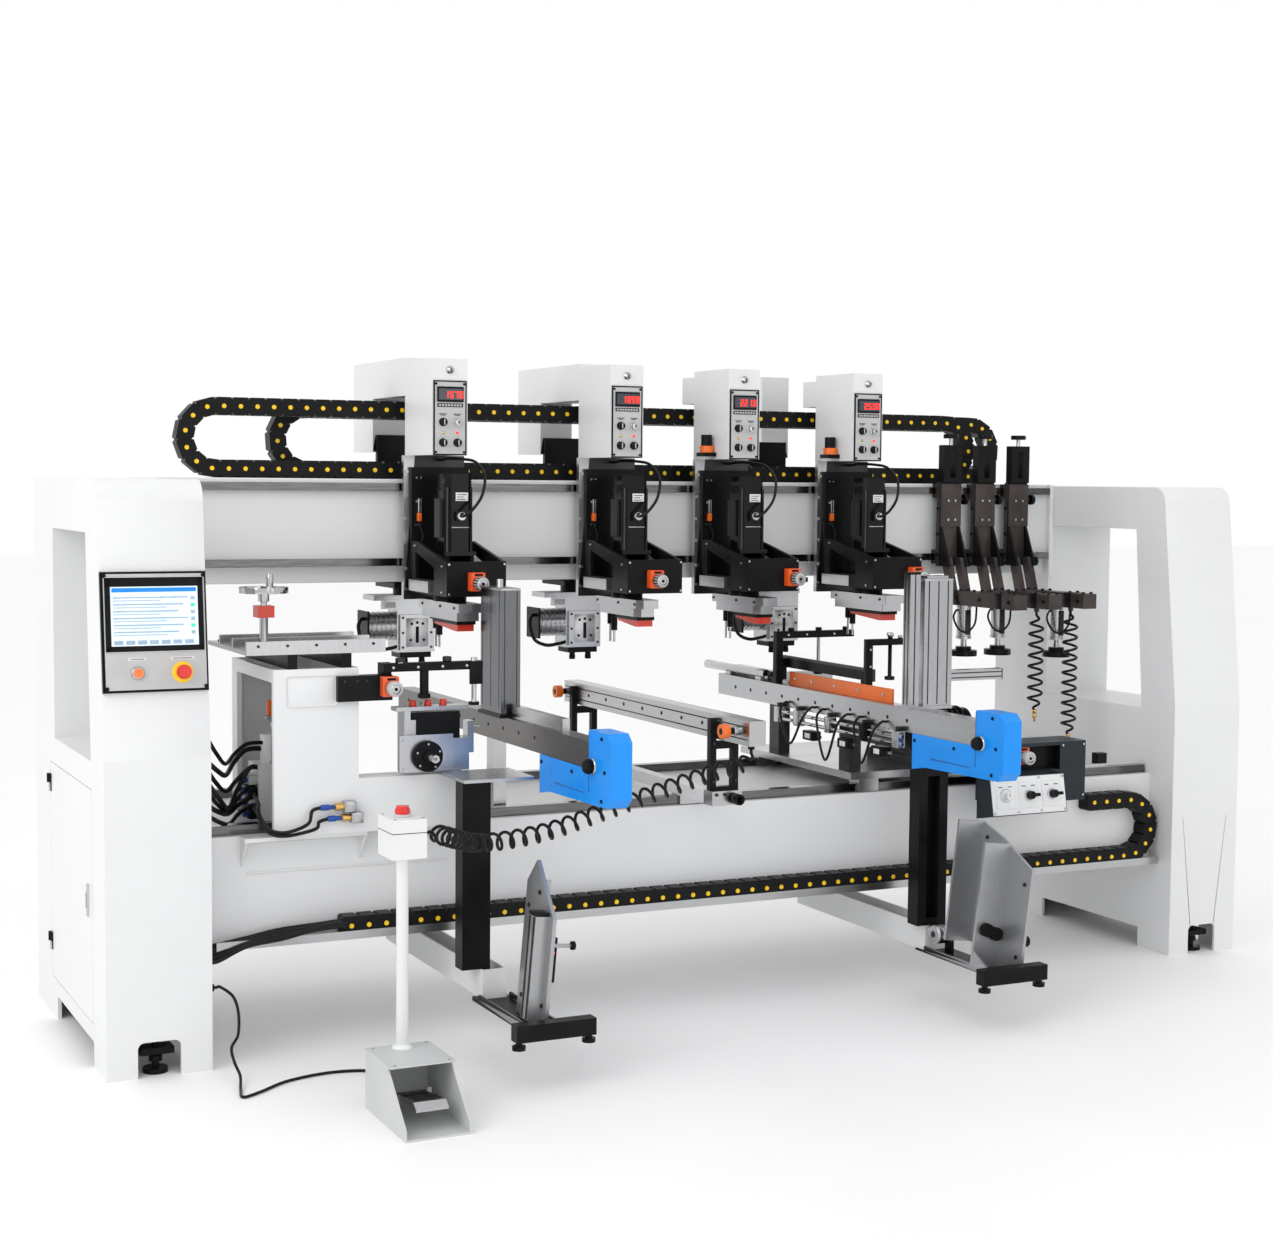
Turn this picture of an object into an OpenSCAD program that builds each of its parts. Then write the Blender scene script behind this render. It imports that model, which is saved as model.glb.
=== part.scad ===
// Line boring machine: four boring heads on a gantry beam over a bed with clamping tables.
// Units are millimetres, Z points up, the operator stands on the -Y side.

/* [Frame] */
// Length over both columns
machine_length = 4235; // [4150:5:4330]
// Width of each column
column_width = 311; // [300:1:320]
// Depth of each column
column_depth = 1123; // [1115:1:1160]
// Height of each column
column_height = 1750; // [1735:1:1765]
// Height at which the column front starts to lean back
bend_height = 937; // [925:1:950]
// How far the column front leans back at the top
column_lean = 90; // [84:1:94]
// Wall thickness of the columns, the beam and the bed
wall = 12; // [10:1:14]

/* [Beam and bed] */
// Distance of the beam front behind the column fronts
beam_front = 776; // [774:1:782]
// Depth of the beam
beam_depth = 304; // [298:1:304]
// Height of the beam section
beam_height = 354; // [345:1:356]
// Height of each beam rail
beam_rail = 26; // [22:1:28]
// Distance of the bed front behind the column fronts
bed_front = 130; // [130:1:134]
// Top of the bed in percent of the height under the beam
bed_level = 47.9657; // [47.7:0.0001:48.2]
// Underside of the bed in percent of the height under the beam
bed_underside = 24.6253; // [24.6:0.0001:25.1]

/* [Boring heads] */
// Place of head 1 in percent of the machine length
head_place_1 = 28.0756; // [27.7:0.0001:28.5]
// Place of head 2 in percent of the machine length
head_place_2 = 43.5419; // [43.2:0.0001:43.9]
// Place of head 3 in percent of the machine length
head_place_3 = 54.5218; // [54.3:0.0001:54.8]
// Place of head 4 in percent of the machine length
head_place_4 = 66.8005; // [66.5:0.0001:67]
// Width of the control box on each head
box_width = 127; // [120:1:132]
// Height of the control box on each head
box_height = 321; // [310:1:330]
// Side of the square motor
motor_side = 100; // [92:1:106]
// Height of the motor body
motor_height = 256; // [246:1:256]
// Width of the gear head blocks
gear_width = 86; // [80:1:92]
// Diameter of the spindle nose
spindle_diameter = 22; // [20:0.5:24]

/* [Cable chains] */
// Pitch of the chain links
chain_pitch = 56; // [50:1:62]
// Height of the chain links
chain_height = 60; // [56:1:62]
// Width of the chain links
chain_width = 58; // [54:1:60]

/* [Work tables] */
// Top of the panel bars in percent of the height under the beam
panel_level = 71.3776; // [71:0.0001:71.8]
// Place of the middle support between the two tables, in percent
middle_place = 51.8; // [50:0.1:53]
// Width of the panel bars
bar_width = 60; // [54:1:62]

/* [Foot pedal] */
// Position of the foot pedal from the left end
pedal_position = 607; // [600:1:615]
// Width of the pedal hood
pedal_width = 186; // [180:1:196]

/* [Fits] */
// Gap between sliding or turning faces
clearance = 0.4; // [0.3:0.05:0.6]

/* [Hidden] */
$fn = 40;

// Colours
white_paint = [0.92, 0.92, 0.91];
black_paint = [0.1, 0.1, 0.11];
bare_metal = [0.72, 0.73, 0.75];
dark_steel = [0.35, 0.34, 0.33];
signal_red = [0.85, 0.1, 0.08];
cap_blue = [0.02, 0.5, 0.9];
slate = [0.2, 0.22, 0.24];
rubber_black = [0.05, 0.05, 0.05];

// Derived positions of the frame
right_column_x = machine_length - column_width;
hinge_out = 12;
pedal_front = -868;
housing_rear = 1352;
origin_x = (machine_length - hinge_out) / 2;
origin_y = (pedal_front + housing_rear) / 2;
lean_angle = atan(column_lean / (column_height - bend_height));
beam_rear = beam_front + beam_depth;
beam_top = column_height + 5;
beam_bottom = beam_top - beam_height;
bed_top = beam_bottom * bed_level / 100;
bed_bottom = beam_bottom * bed_underside / 100;
work_level = beam_bottom * panel_level / 100;
window_bottom = bend_height - 22;
window_top = column_height - 160;
panel_height = 350;
panel_bottom = bend_height + (column_height - bend_height - panel_height - 73) / 2;
rail_front = beam_front - 25;
rear_box_front = beam_rear + 54;
rear_box_bottom = beam_top + 97;
upper_rail_z = beam_top - 40;
lower_rail_z = beam_bottom + 57;
bed_rear = 1000;
bed_rail_top = bed_top + 30;
front_rail_y = bed_front + 25;
rear_rail_y = bed_rear - 130;
chain_bend = 104;
chain_start = machine_length * 0.4817;
tray_front = bed_front - 65;
tray_top = bed_bottom + 4;

// Derived positions of the boring heads
carriage_front = rail_front - 33;
slide_front = carriage_front - 20 - clearance;
head_1 = machine_length * head_place_1 / 100;
head_2 = machine_length * head_place_2 / 100;
head_3 = machine_length * head_place_3 / 100;
head_4 = machine_length * head_place_4 / 100;
bracket_front = 357;
bracket_bottom = beam_bottom - 30;
box_bottom = beam_top + 81;
box_top = box_bottom + box_height;
box_front = 525;
box_rear = 790;
bridge_bottom = beam_top + chain_bend * 2 + chain_height + 18;
motor_bottom = beam_bottom + 120;
gear_top = bracket_bottom - 20;
gear_bottom = gear_top - 58;
flange_y = 490;
spindle_pitch = 32;
spindle_y = 590;
bracket_width = 209;
hanger_bottom = beam_bottom - 31;

// Derived positions of the tables
left_bar_x = 1282;
right_bar_x = right_column_x - 1284;
bar_bottom = work_level - 80;
cap_front = -700;
cap_rear = -190;
block_front = bed_front - 70;
arm_top = work_level - 162;
block_top = work_level + 180;
middle_x = left_bar_x + (right_bar_x - left_bar_x) * middle_place / 100;
presser_pitch = 160;
presser_x = right_column_x - 582;
presser_width = 112;
presser_arm_bottom = beam_bottom - 111;
stand_x = pedal_position + 95;
stand_y = -570;
pedal_rear = pedal_front + 335;
saddle_bottom = bed_rail_top + clearance;
saddle_top = saddle_bottom + 42;
gland_length = 14;
hose_diameter = 10;
hose_start = [stand_x + 50 + gland_length, stand_y + 20, 765];
hose_end = [middle_x, -250, bar_bottom - gland_length];

// Points along the centre of the pedal cord
cord_diameter = 9;
cord_points = [
    [column_width + gland_length, 40, 238], [column_width + 24, 40, 238], [column_width + 34, 40, 238],
    [column_width + 68, 25, 210], [column_width + 78, 0, 165], [column_width + 66, -40, 110],
    [column_width + 40, -65, 80], [column_width + 36, -110, 50], [column_width + 40, -160, 22],
    [column_width + 20, -240, 6], [320, -310, 5], [380, -280, 5], [480, -210, 5], [620, -180, 5],
    [740, -220, 5], [770, -330, 5], [730, -430, 14], [stand_x, -490, 26], [stand_x, -505, 26],
    [stand_x, pedal_rear + gland_length, 26]
];

// Turns the machine frame about the middle of its footprint
module placed() {
    translate([-origin_x, -origin_y, 0])
        children();
}

// Box between two limits on every axis
module slab(x, y, z) {
    translate([x[0], y[0], z[0]])
        cube([x[1] - x[0], y[1] - y[0], z[1] - z[0]]);
}

// Plate drawn in Y and Z, thick along X
module plate_x(x, thickness, points) {
    translate([x, 0, 0])
        rotate([90, 0, 90])
            linear_extrude(thickness)
                polygon(points);
}

// Plate drawn in X and Z, thick along Y
module plate_y(y, thickness, points) {
    translate([0, y + thickness, 0])
        rotate([90, 0, 0])
            linear_extrude(thickness)
                polygon(points);
}

// Round bar along X
module rod_x(start, length, diameter) {
    translate(start)
        rotate([0, 90, 0])
            cylinder(h = length, d = diameter);
}

// Round bar along Y
module rod_y(start, length, diameter) {
    translate(start)
        rotate([-90, 0, 0])
            cylinder(h = length, d = diameter);
}

// Round bar along Z
module rod_z(start, length, diameter) {
    translate(start)
        cylinder(h = length, d = diameter);
}

// Leaning front line of a column
function lean(z) = max(0, (z - bend_height) / (column_height - bend_height) * column_lean);

// Side outline of a column with a rounded upper front edge
function column_outline() = concat(
    [[0, 0], [column_depth, 0], [column_depth, column_height]],
    [for (a = [90:-15:0])
        [lean(column_height - 60) + 60 - 60 * cos(a), column_height - 60 + 60 * sin(a)]],
    [[0, bend_height]]
);

// Tube swept along a list of points
function unit(v) = v / norm(v);
function tangent(p, i) = unit(p[min(i + 1, len(p) - 1)] - p[max(i - 1, 0)]);
function square_to(v, t) = unit(v - (v * t) * t);
function side_vectors(p) = [
    for (i = 0, u = square_to([0.31, 0.22, 0.93], tangent(p, 0));
        i < len(p);
        i = i + 1, u = square_to(u, tangent(p, min(i, len(p) - 1)))) u
];
function ring(c, u, t, r, sides) = [
    for (k = [0:sides - 1])
        c + r * cos(360 * k / sides) * u + r * sin(360 * k / sides) * cross(t, u)
];
module tube(p, diameter, sides) {
    n = len(p);
    u = side_vectors(p);
    points = [for (i = [0:n - 1]) each ring(p[i], u[i], tangent(p, i), diameter / 2, sides)];
    walls = [
        for (i = [0:n - 2]) for (k = [0:sides - 1])
            each [
                [i * sides + k, (i + 1) * sides + k, (i + 1) * sides + (k + 1) % sides],
                [i * sides + k, (i + 1) * sides + (k + 1) % sides, i * sides + (k + 1) % sides]
            ]
    ];
    start_cap = [for (k = [1:sides - 2]) [0, k, k + 1]];
    end_cap = [for (k = [1:sides - 2]) [(n - 1) * sides, (n - 1) * sides + k + 1, (n - 1) * sides + k]];
    polyhedron(points, concat(walls, start_cap, end_cap), convexity = 8);
}

// Smooth curve through hand-placed points
function blend(a, b, c, d, s) = 0.5 * (2 * b + (c - a) * s
    + (2 * a - 5 * b + 4 * c - d) * s * s + (3 * b - a - 3 * c + d) * s * s * s);
function smooth(p, steps) = concat(
    [for (i = [0:len(p) - 2]) for (j = [0:steps - 1])
        blend(p[max(i - 1, 0)], p[i], p[i + 1], p[min(i + 2, len(p) - 1)], j / steps)],
    [p[len(p) - 1]]
);

// Curled hose about a curved axis, with straight ends on the axis
function run_lengths(p) = [
    for (i = 0, sum = 0; i < len(p); sum = sum + norm(p[min(i + 1, len(p) - 1)] - p[i]), i = i + 1) sum
];
function at_length(p, runs, d) =
    let (k = max([for (i = [0:len(p) - 2]) if (runs[i] <= max(d, 0)) i]))
    p[k] + (p[k + 1] - p[k]) * (d - runs[k]) / (runs[k + 1] - runs[k]);
function swell(i, turns) = min(1, i / 8, turns - i / 8);
function coil(axis, turns, radius) = [
    for (i = [0:turns * 8])
        let (runs = run_lengths(axis))
        let (d = i / (turns * 8) * runs[len(axis) - 1])
        let (c = at_length(axis, runs, d))
        let (t = unit(at_length(axis, runs, d + 12) - at_length(axis, runs, d - 12)))
        let (n = square_to([0.02, 1, 0.03], t))
        c + radius * swell(i, turns) * (cos(i * 45) * n + sin(i * 45) * cross(t, n))
];
function with_ends(p, first, last, length) = concat(
    [p[0] - first * length],
    p,
    [p[len(p) - 1] + last * length]
);
function self_gap(p, diameter) = min([
    for (i = [0:len(p) - 1]) for (j = [i + 5:1:len(p) - 1]) norm(p[i] - p[j])
]) - diameter;

// Side view of a chain that runs out, turns over and runs back
function chain_path(s, run, bend) =
    s < run ? [s, 0, 0]
    : s < run + PI * bend
        ? [run + bend * sin((s - run) / bend * 180 / PI),
            bend - bend * cos((s - run) / bend * 180 / PI), (s - run) / bend * 180 / PI]
        : [run - (s - run - PI * bend), 2 * bend, 180];
function chain_point(s, run, bend, off) =
    let (c = chain_path(s, run, bend))
    [c[0] - off * sin(c[2]), c[1] + off * cos(c[2])];
function chain_side(count, step, run, bend, half, sign) = [
    for (i = [0:count - 1])
        each [
            chain_point(i * step + 1, run, bend, sign * (half - 7)),
            chain_point(i * step + 6, run, bend, sign * half),
            chain_point((i + 1) * step - 6, run, bend, sign * half),
            chain_point((i + 1) * step - 1, run, bend, sign * (half - 7))
        ]
];
function turned(p) = [for (i = [len(p) - 1:-1:0]) p[i]];

// One cable chain, drawn in X and Z, thick along Y
module chain(y, run, back, bend) {
    total = run + PI * bend + back;
    count = floor(total / chain_pitch);
    step = total / count;
    half = chain_height / 2;
    plate_y(y, chain_width, concat(
        chain_side(count, step, run, bend, half, -1),
        turned(chain_side(count, step, run, bend, half, 1))
    ));
}

// Column shell shared by both ends
module column_shell() {
    difference() {
        plate_x(0, column_width, column_outline());
        slab([wall, column_width - wall], [wall, column_depth - wall], [-1, 880]);
        slab([wall, column_width - wall], [105, 175], [870, window_top - 30]);
        slab([wall, column_width - wall], [800, column_depth - wall], [870, column_height - 15]);
        plate_x(-1, column_width + 2, [[190, window_bottom], [780, window_bottom], [780, window_top],
            [245, window_top]]);
        slab([-1, column_width + 1], [180, 770], [-1, 75]);
        slab([91, 218], [-1, wall + 1], [-1, 85]);
        slab([111, 198], [-1, wall + 1], [80, 105]);
        rod_y([111, -1, 85], wall + 2, 40);
        rod_y([198, -1, 85], wall + 2, 40);
    }
}

// Left column with the cabinet opening and the cord outlet
module left_column() {
    color(white_paint)
        placed() {
            difference() {
                column_shell();
                slab([-1, wall + 1], [183, 858], [125, 832]);
            }
            rod_x([column_width, 40, 238], gland_length, 22);
            rod_x([column_width, 40, 238], 6, 30);
            for (z = [212, 733]) {
                rod_z([-6, 862, z], 29, 12);
                slab([-6, 0], [858, 868], [z, z + 29]);
            }
        }
}

// Right column
module right_column() {
    color(white_paint)
        placed()
            translate([right_column_x, 0, 0])
                column_shell();
}

// Hollow beam with a set-back lower ledge and end flanges
module upper_beam() {
    color(white_paint)
        placed() {
            difference() {
                slab([column_width, right_column_x], [beam_front, beam_rear], [beam_bottom, beam_top]);
                slab([column_width - 1, right_column_x + 1], [beam_front + wall + 18, beam_rear - wall],
                    [beam_bottom + wall, beam_top - wall]);
                slab([column_width - 1, right_column_x + 1], [beam_front - 1, beam_front + 14],
                    [beam_bottom - 1, lower_rail_z]);
            }
            for (x = [column_width, right_column_x - 20])
                difference() {
                    slab([x, x + 20], [beam_front - 26, beam_rear + 18], [beam_bottom - 16, beam_top]);
                    slab([x - 1, x + 21], [beam_front + wall + 30, beam_rear - wall - 12],
                        [beam_bottom + wall + 12, beam_top - wall - 12]);
                }
        }
}

// Hollow bed with the front ledge under the left block
module lower_bed() {
    color(white_paint)
        placed() {
            difference() {
                slab([column_width, right_column_x], [bed_front, bed_rear], [bed_bottom, bed_top]);
                slab([column_width - 1, right_column_x + 1], [bed_front + wall, bed_rear - wall],
                    [bed_bottom + wall, bed_top - wall]);
            }
            slab([430, 815], [bed_front - 60, bed_front + 1], [bed_top - 14, bed_top]);
            for (x = [432, 805])
                plate_x(x, 8, [[bed_front - 58, bed_top - 14], [bed_front + 1, bed_top - 14],
                    [bed_front + 1, bed_top - 96]]);
            slab([450, 1100], [bed_front - 5, bed_front + 1], [bed_top - 118, bed_top - 112]);
        }
}

// Ground guide rails of the beam and of the bed
module guide_rails() {
    color(bare_metal)
        placed() {
            for (z = [lower_rail_z, upper_rail_z])
                slab([column_width + 21, right_column_x - 21], [rail_front, beam_front], [z, z + beam_rail]);
            slab([column_width + 21, right_column_x - 21], [beam_rear, beam_rear + 16],
                [upper_rail_z, upper_rail_z + beam_rail]);
            for (y = [front_rail_y, rear_rail_y])
                slab([column_width + 6, right_column_x - 6], [y, y + 40], [bed_top, bed_rail_top]);
        }
}

// Four cable chains on the beam, two lanes side by side
module head_cable_chain() {
    color(rubber_black)
        placed() {
            translate([0, 0, beam_top + chain_height / 2])
                for (lane = [0, 1]) {
                    start = chain_start + lane * 70;
                    left_run = start - column_width - 236 - lane * 345;
                    right_run = right_column_x - 455 + lane * 194 - start - 40;
                    translate([start, 0, 0])
                        mirror([1, 0, 0])
                            chain(850 + lane * 110, left_run, left_run - 15, chain_bend);
                    translate([start + 40, 0, 0])
                        chain(850 + lane * 110, right_run, right_run - 10, chain_bend);
                }
        }
}

// Cable chain of the moving table
module bed_cable_chain() {
    color(rubber_black)
        placed()
            translate([735, 0, tray_top + chain_height / 2])
                chain(tray_front + 5, right_column_x - 146 - 735, 190, chain_bend);
}

// Sheet tray under the bed chain
module chain_tray() {
    color(bare_metal)
        placed() {
            slab([column_width + 30, right_column_x - 8], [tray_front, bed_front], [bed_bottom, tray_top]);
            slab([column_width + 30, right_column_x - 8], [tray_front, tray_front + 4],
                [bed_bottom - 6, tray_top + 16]);
        }
}

// Levelling jacks inside the column feet
module levelling_feet() {
    color(black_paint)
        placed()
            for (x = [154.5, right_column_x + 154.5])
                for (y = [60, column_depth - 70]) {
                    rod_z([x, y, 0], 14, 74);
                    rod_z([x, y, 14], 76, 22);
                    rod_z([x, y, 34], 16, 40);
                    difference() {
                        slab([x - 50, x + 50], [y - 30, y + 30], [58, 78]);
                        rod_z([x, y, 57], 22, 21);
                    }
                    slab([x - (x < 1000 ? x - wall : x - right_column_x - wall), x - 50],
                        [y - 20, y + 20], [58, 78]);
                }
}

// Operator panel leaning with the column front, with the button bores
module panel_frame() {
    translate([2, lean(panel_bottom), panel_bottom])
        rotate([-lean_angle, 0, 0])
            children();
}
module control_panel() {
    color(black_paint)
        placed()
            panel_frame()
                difference() {
                    union() {
                        slab([0, column_width - 4], [-10, 0], [0, panel_height]);
                        slab([5, column_width - 9], [-18, -10], [5, panel_height - 5]);
                        slab([12, column_width - 18], [-22, -18], [120, 330]);
                        rod_y([229, -22, 55], 4, 60);
                        rod_y([99, -20, 55], 2, 36);
                        for (x = [10, column_width - 14])
                            for (z = [12, 338])
                                rod_y([x, -20, z], 2, 9);
                    }
                    slab([26, column_width - 32], [-23, -20.5], [134, 306]);
                    rod_y([99, -30, 55], 31, 22 + 2 * clearance);
                    rod_y([229, -30, 55], 31, 20 + 2 * clearance);
                }
}

// Emergency stop mushroom on the panel
module panel_stop_button() {
    color(signal_red)
        placed()
            panel_frame() {
                rod_y([229, -52, 55], 8, 36);
                rod_y([229, -44, 55], 14, 42);
                rod_y([229, -30, 55], 23, 20);
            }
}

// Illuminated start button on the panel
module panel_start_button() {
    color(signal_red)
        placed()
            panel_frame() {
                rod_y([99, -33, 55], 7, 28);
                rod_y([99, -26, 55], 19, 22);
            }
}

// Hinged cabinet door with a latch and its hinge knuckles
module cabinet_door() {
    color(white_paint)
        placed() {
            slab([0, 8], [185.5, 855.5], [127.5, 829.5]);
            for (z = [212, 733]) {
                rod_z([-6, 862, z + 29.5], 29, 12);
                slab([-6, 0], [842, 862], [z + 29.5, z + 58.5]);
                slab([-3, 0], [842, 848], [z + 2, z + 58.5]);
            }
            slab([-5, 0], [213, 233], [445, 545]);
            slab([-11, -5], [218, 228], [470, 520]);
        }
}

// Switchgear plate inside the cabinet
module control_gear() {
    color(bare_metal)
        placed() {
            slab([column_width - wall - 14, column_width - wall - 8], [220, 820], [150, 810]);
            for (z = [160, 790])
                for (y = [240, 800])
                    rod_x([column_width - wall - 8, y, z], 8, 16);
            for (z = [300, 470, 640])
                slab([column_width - wall - 18, column_width - wall - 14], [250, 790], [z, z + 35]);
            for (y = [260:70:680])
                slab([column_width - wall - 98, column_width - wall - 18], [y, y + 58], [625, 700]);
            for (y = [270:120:700])
                slab([column_width - wall - 118, column_width - wall - 18], [y, y + 90], [445, 545]);
            slab([column_width - wall - 128, column_width - wall - 18], [280, 560], [250, 360]);
        }
}

// White block on the left of the bed that carries the side unit
module left_block() {
    color(white_paint)
        placed() {
            plate_y(block_front, 20, [[516, bed_top], [1113, bed_top], [1113, arm_top], [783, arm_top],
                [783, block_top], [516, block_top]]);
            plate_x(516, 16, [[block_front + 20, block_top], [block_front + 20, block_top - 40],
                [480, block_top - 40], [480, bed_top], [540, bed_top], [540, block_top]]);
            plate_x(767, 16, [[block_front + 20, bed_top], [front_rail_y - 3, bed_top],
                [front_rail_y - 3, bed_rail_top + 3], [front_rail_y + 43, bed_rail_top + 3],
                [front_rail_y + 43, bed_top], [540, bed_top], [540, block_top], [block_front + 20, block_top]]);
            slab([532, 767], [524, 540], [bed_top, block_top]);
            slab([783, 1113], [block_front + 20, front_rail_y - 3], [arm_top - 16, arm_top]);
            slab([1097, 1113], [block_front + 20, front_rail_y - 3], [bed_top, arm_top - 16]);
            slab([536, 640], [300, 420], [bed_top, block_top - 320]);
            rod_z([588, 360, block_top - 320], 90, 60);
            slab([532, 767], [90, 130], [block_top - 170, block_top - 110]);
        }
}

// Blue end cap of a panel bar, drawn in Y and Z
module bar_cap(x) {
    plate_x(x - 4, bar_width + 8, [
        [cap_rear, bar_bottom], [cap_rear, work_level - 200], [cap_rear - 70, work_level - 186],
        [cap_front + 26, work_level - 178], [cap_front, work_level - 152], [cap_front, work_level + 12],
        [cap_front + 26, work_level + 36], [cap_front + 150, work_level + 36],
        [cap_front + 150, bar_bottom]
    ]);
}

// Black star knob on the outside of a cap
module cap_knob(x) {
    rod_x([x - 10, cap_front + 122, work_level - 68], 6, 40);
    rod_x([x - 34, cap_front + 122, work_level - 68], 24, 22);
}

// Left table with its top plate, panel bar, clamps and end cap
module left_table() {
    plate_top = block_top + 58;
    color(bare_metal)
        placed() {
            slab([434, 869], [block_front, 520], [plate_top - 13, plate_top]);
            for (y = [block_front, 215, 370])
                slab([434, 869], [y, y + 14], [plate_top, plate_top + 28]);
            for (x = [560, 730])
                slab([x, x + 30], [block_front, 540], [block_top, plate_top - 13]);
            rod_z([526, 200, plate_top], 92, 26);
            slab([500, 552], [172, 228], [plate_top + 92, plate_top + 128]);
            rod_z([526, 200, plate_top + 128], 12, 20);
            slab([left_bar_x, left_bar_x + bar_width], [cap_front + 150, 1120], [bar_bottom, work_level]);
            for (y = [front_rail_y + 60, 640])
                slab([left_bar_x + 8, left_bar_x + bar_width - 8], [y, y + 60], [bed_top, bar_bottom]);
            bar_cap(left_bar_x);
            cap_knob(left_bar_x);
            slab([left_bar_x + 10, left_bar_x + 34], [-330, 60], [work_level, work_level + 42]);
            slab([left_bar_x - 26, left_bar_x + bar_width], [78, 269], [work_level, work_level + 12]);
            slab([left_bar_x - 20, left_bar_x + 46], [86, 261], [work_level + 12, work_level + 412]);
            rod_z([left_bar_x + 13, 178, work_level + 412], 26, 22);
            slab([850, 1174], [20, 48], [work_level + 166, work_level + 192]);
            for (x = [906, 1148])
                rod_z([x, 30, work_level + 192], 10, 20);
            slab([850, 884], [48, block_front + 20], [work_level + 100, work_level + 192]);
            slab([783, 850], [block_front, block_front + 20], [work_level + 78, work_level + 156]);
            slab([710, 884], [block_front - 22, block_front], [work_level + 78, work_level + 156]);
            rod_z([1148, 30, work_level + 64], 102, 16);
            rod_z([1148, 30, work_level + 54], 10, 34);
            dial_box(left_bar_x - 438, block_front - 22, work_level + 92);
        }
}

// Position indicator with its ribbed knob, facing the operator
module dial_box(x, y, z) {
    slab([x, x + 50], [y - 32, y], [z, z + 60]);
    rod_y([x + 27, y - 44, z + 26], 12, 40);
    rod_y([x + 27, y - 70, z + 26], 26, 46);
}

// Left front rest on its hanging arm and black post
module left_outrigger() {
    color(black_paint)
        placed() {
            slab([1050, 1142], [-130, -70], [255, arm_top]);
            slab([1040, 1113], [-170, 118], [arm_top, arm_top + 10]);
            slab([1113, 1270], [-170, 40], [arm_top, arm_top + 10]);
            difference() {
                slab([1110, 1190], [-150, 760], [165, 255]);
                slab([1116, 1184], [-140, 750], [171, 256]);
            }
            slab([1110, 1142], [-130, -70], [235, 255]);
            slab([1120, 1180], [600, 700], [171, bed_bottom]);
            outrigger_foot(1095);
            rest_left(1130);
        }
}

// Foot plate and end bar of a front rest
module outrigger_foot(x) {
    slab([x, x + 110], [-560, -100], [152, 165]);
    slab([x, x + 8], [-560, -150], [165, 180]);
    slab([x + 102, x + 110], [-560, -150], [165, 180]);
    slab([x - 60, x + 190], [-604, -560], [150, 200]);
    for (dx = [-45, 175]) {
        rod_z([x + dx, -582, 138], 12, 20);
        rod_z([x + dx, -582, 126], 12, 40);
    }
}

// Leaning stop plate with the clamping cylinder of the left front rest
module rest_left(x) {
    translate([x, -440, 165])
        rotate([0, 5, 0]) {
            plate_x(20, 12, [[-90, -8], [120, -8], [120, 400], [60, 470], [-90, 320]]);
            plate_x(32, 62, [[108, 120], [120, 120], [120, 400], [108, 400]]);
            plate_x(-22, 42, [[-60, 10], [-8, 10], [-8, 330], [-60, 330]]);
            plate_x(32, 20, [[-60, 130], [-10, 130], [-10, 260], [-60, 260]]);
            rod_x([32, -70, 240], 60, 12);
            rod_x([32, 90, 150], 30, 22);
        }
}

// Two angle plates of the right front rest
module rest_right(x) {
    translate([x, -430, 158])
        rotate([0, 7, 0]) {
            plate_x(76, 10, [[-110, 4], [60, 4], [60, 60], [190, 60], [190, 470], [60, 430], [-110, 352]]);
            plate_x(-24, 100, [[180, 60], [190, 60], [190, 470], [180, 470]]);
            plate_x(-24, 100, [[20, 6], [30, 6], [30, 418], [20, 418]]);
            plate_x(-24, 10, [[-60, 6], [20, 6], [20, 60], [-60, 20]]);
            rod_y([14, 0, 130], 20, 44);
            rod_y([52, 0, 118], 20, 44);
            rod_x([86, -60, 110], 26, 18);
            rod_x([112, -60, 110], 16, 36);
        }
}

// Right front rest carried by the moving table
module right_outrigger() {
    x = right_column_x - 1174;
    color(black_paint)
        placed() {
            difference() {
                slab([x - 40, x + 76], [-130, -70], [246, bar_bottom - 120]);
                slab([x - 6, x + 42], [-131, -90], [270, bar_bottom - 160]);
            }
            plate_y(-130, 60, [[x - 40, bar_bottom - 120], [x + 76, bar_bottom - 120],
                [x + 76, bar_bottom], [right_bar_x + 10, bar_bottom], [right_bar_x + 10, bar_bottom - 30]]);
            difference() {
                slab([x, x + 90], [-120, 740], [157, 246]);
                slab([x + 6, x + 84], [-110, 730], [163, 247]);
            }
            slab([x, x + 76], [-120, -70], [230, 246]);
            slab([x - 5, x + 105], [-560, -70], [150, 157]);
            slab([x - 5, x + 3], [-560, -120], [157, 172]);
            slab([x - 100, x + 150], [-604, -560], [150, 200]);
            for (dx = [-82, 132]) {
                rod_z([x + dx, -582, 138], 12, 20);
                rod_z([x + dx, -582, 126], 12, 40);
            }
            rest_right(x + 10);
            slab([x + 54, x + 64], [-200, -160], [157, 252]);
            rod_x([x - 8, -180, 226], 62, 66);
        }
}

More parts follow.
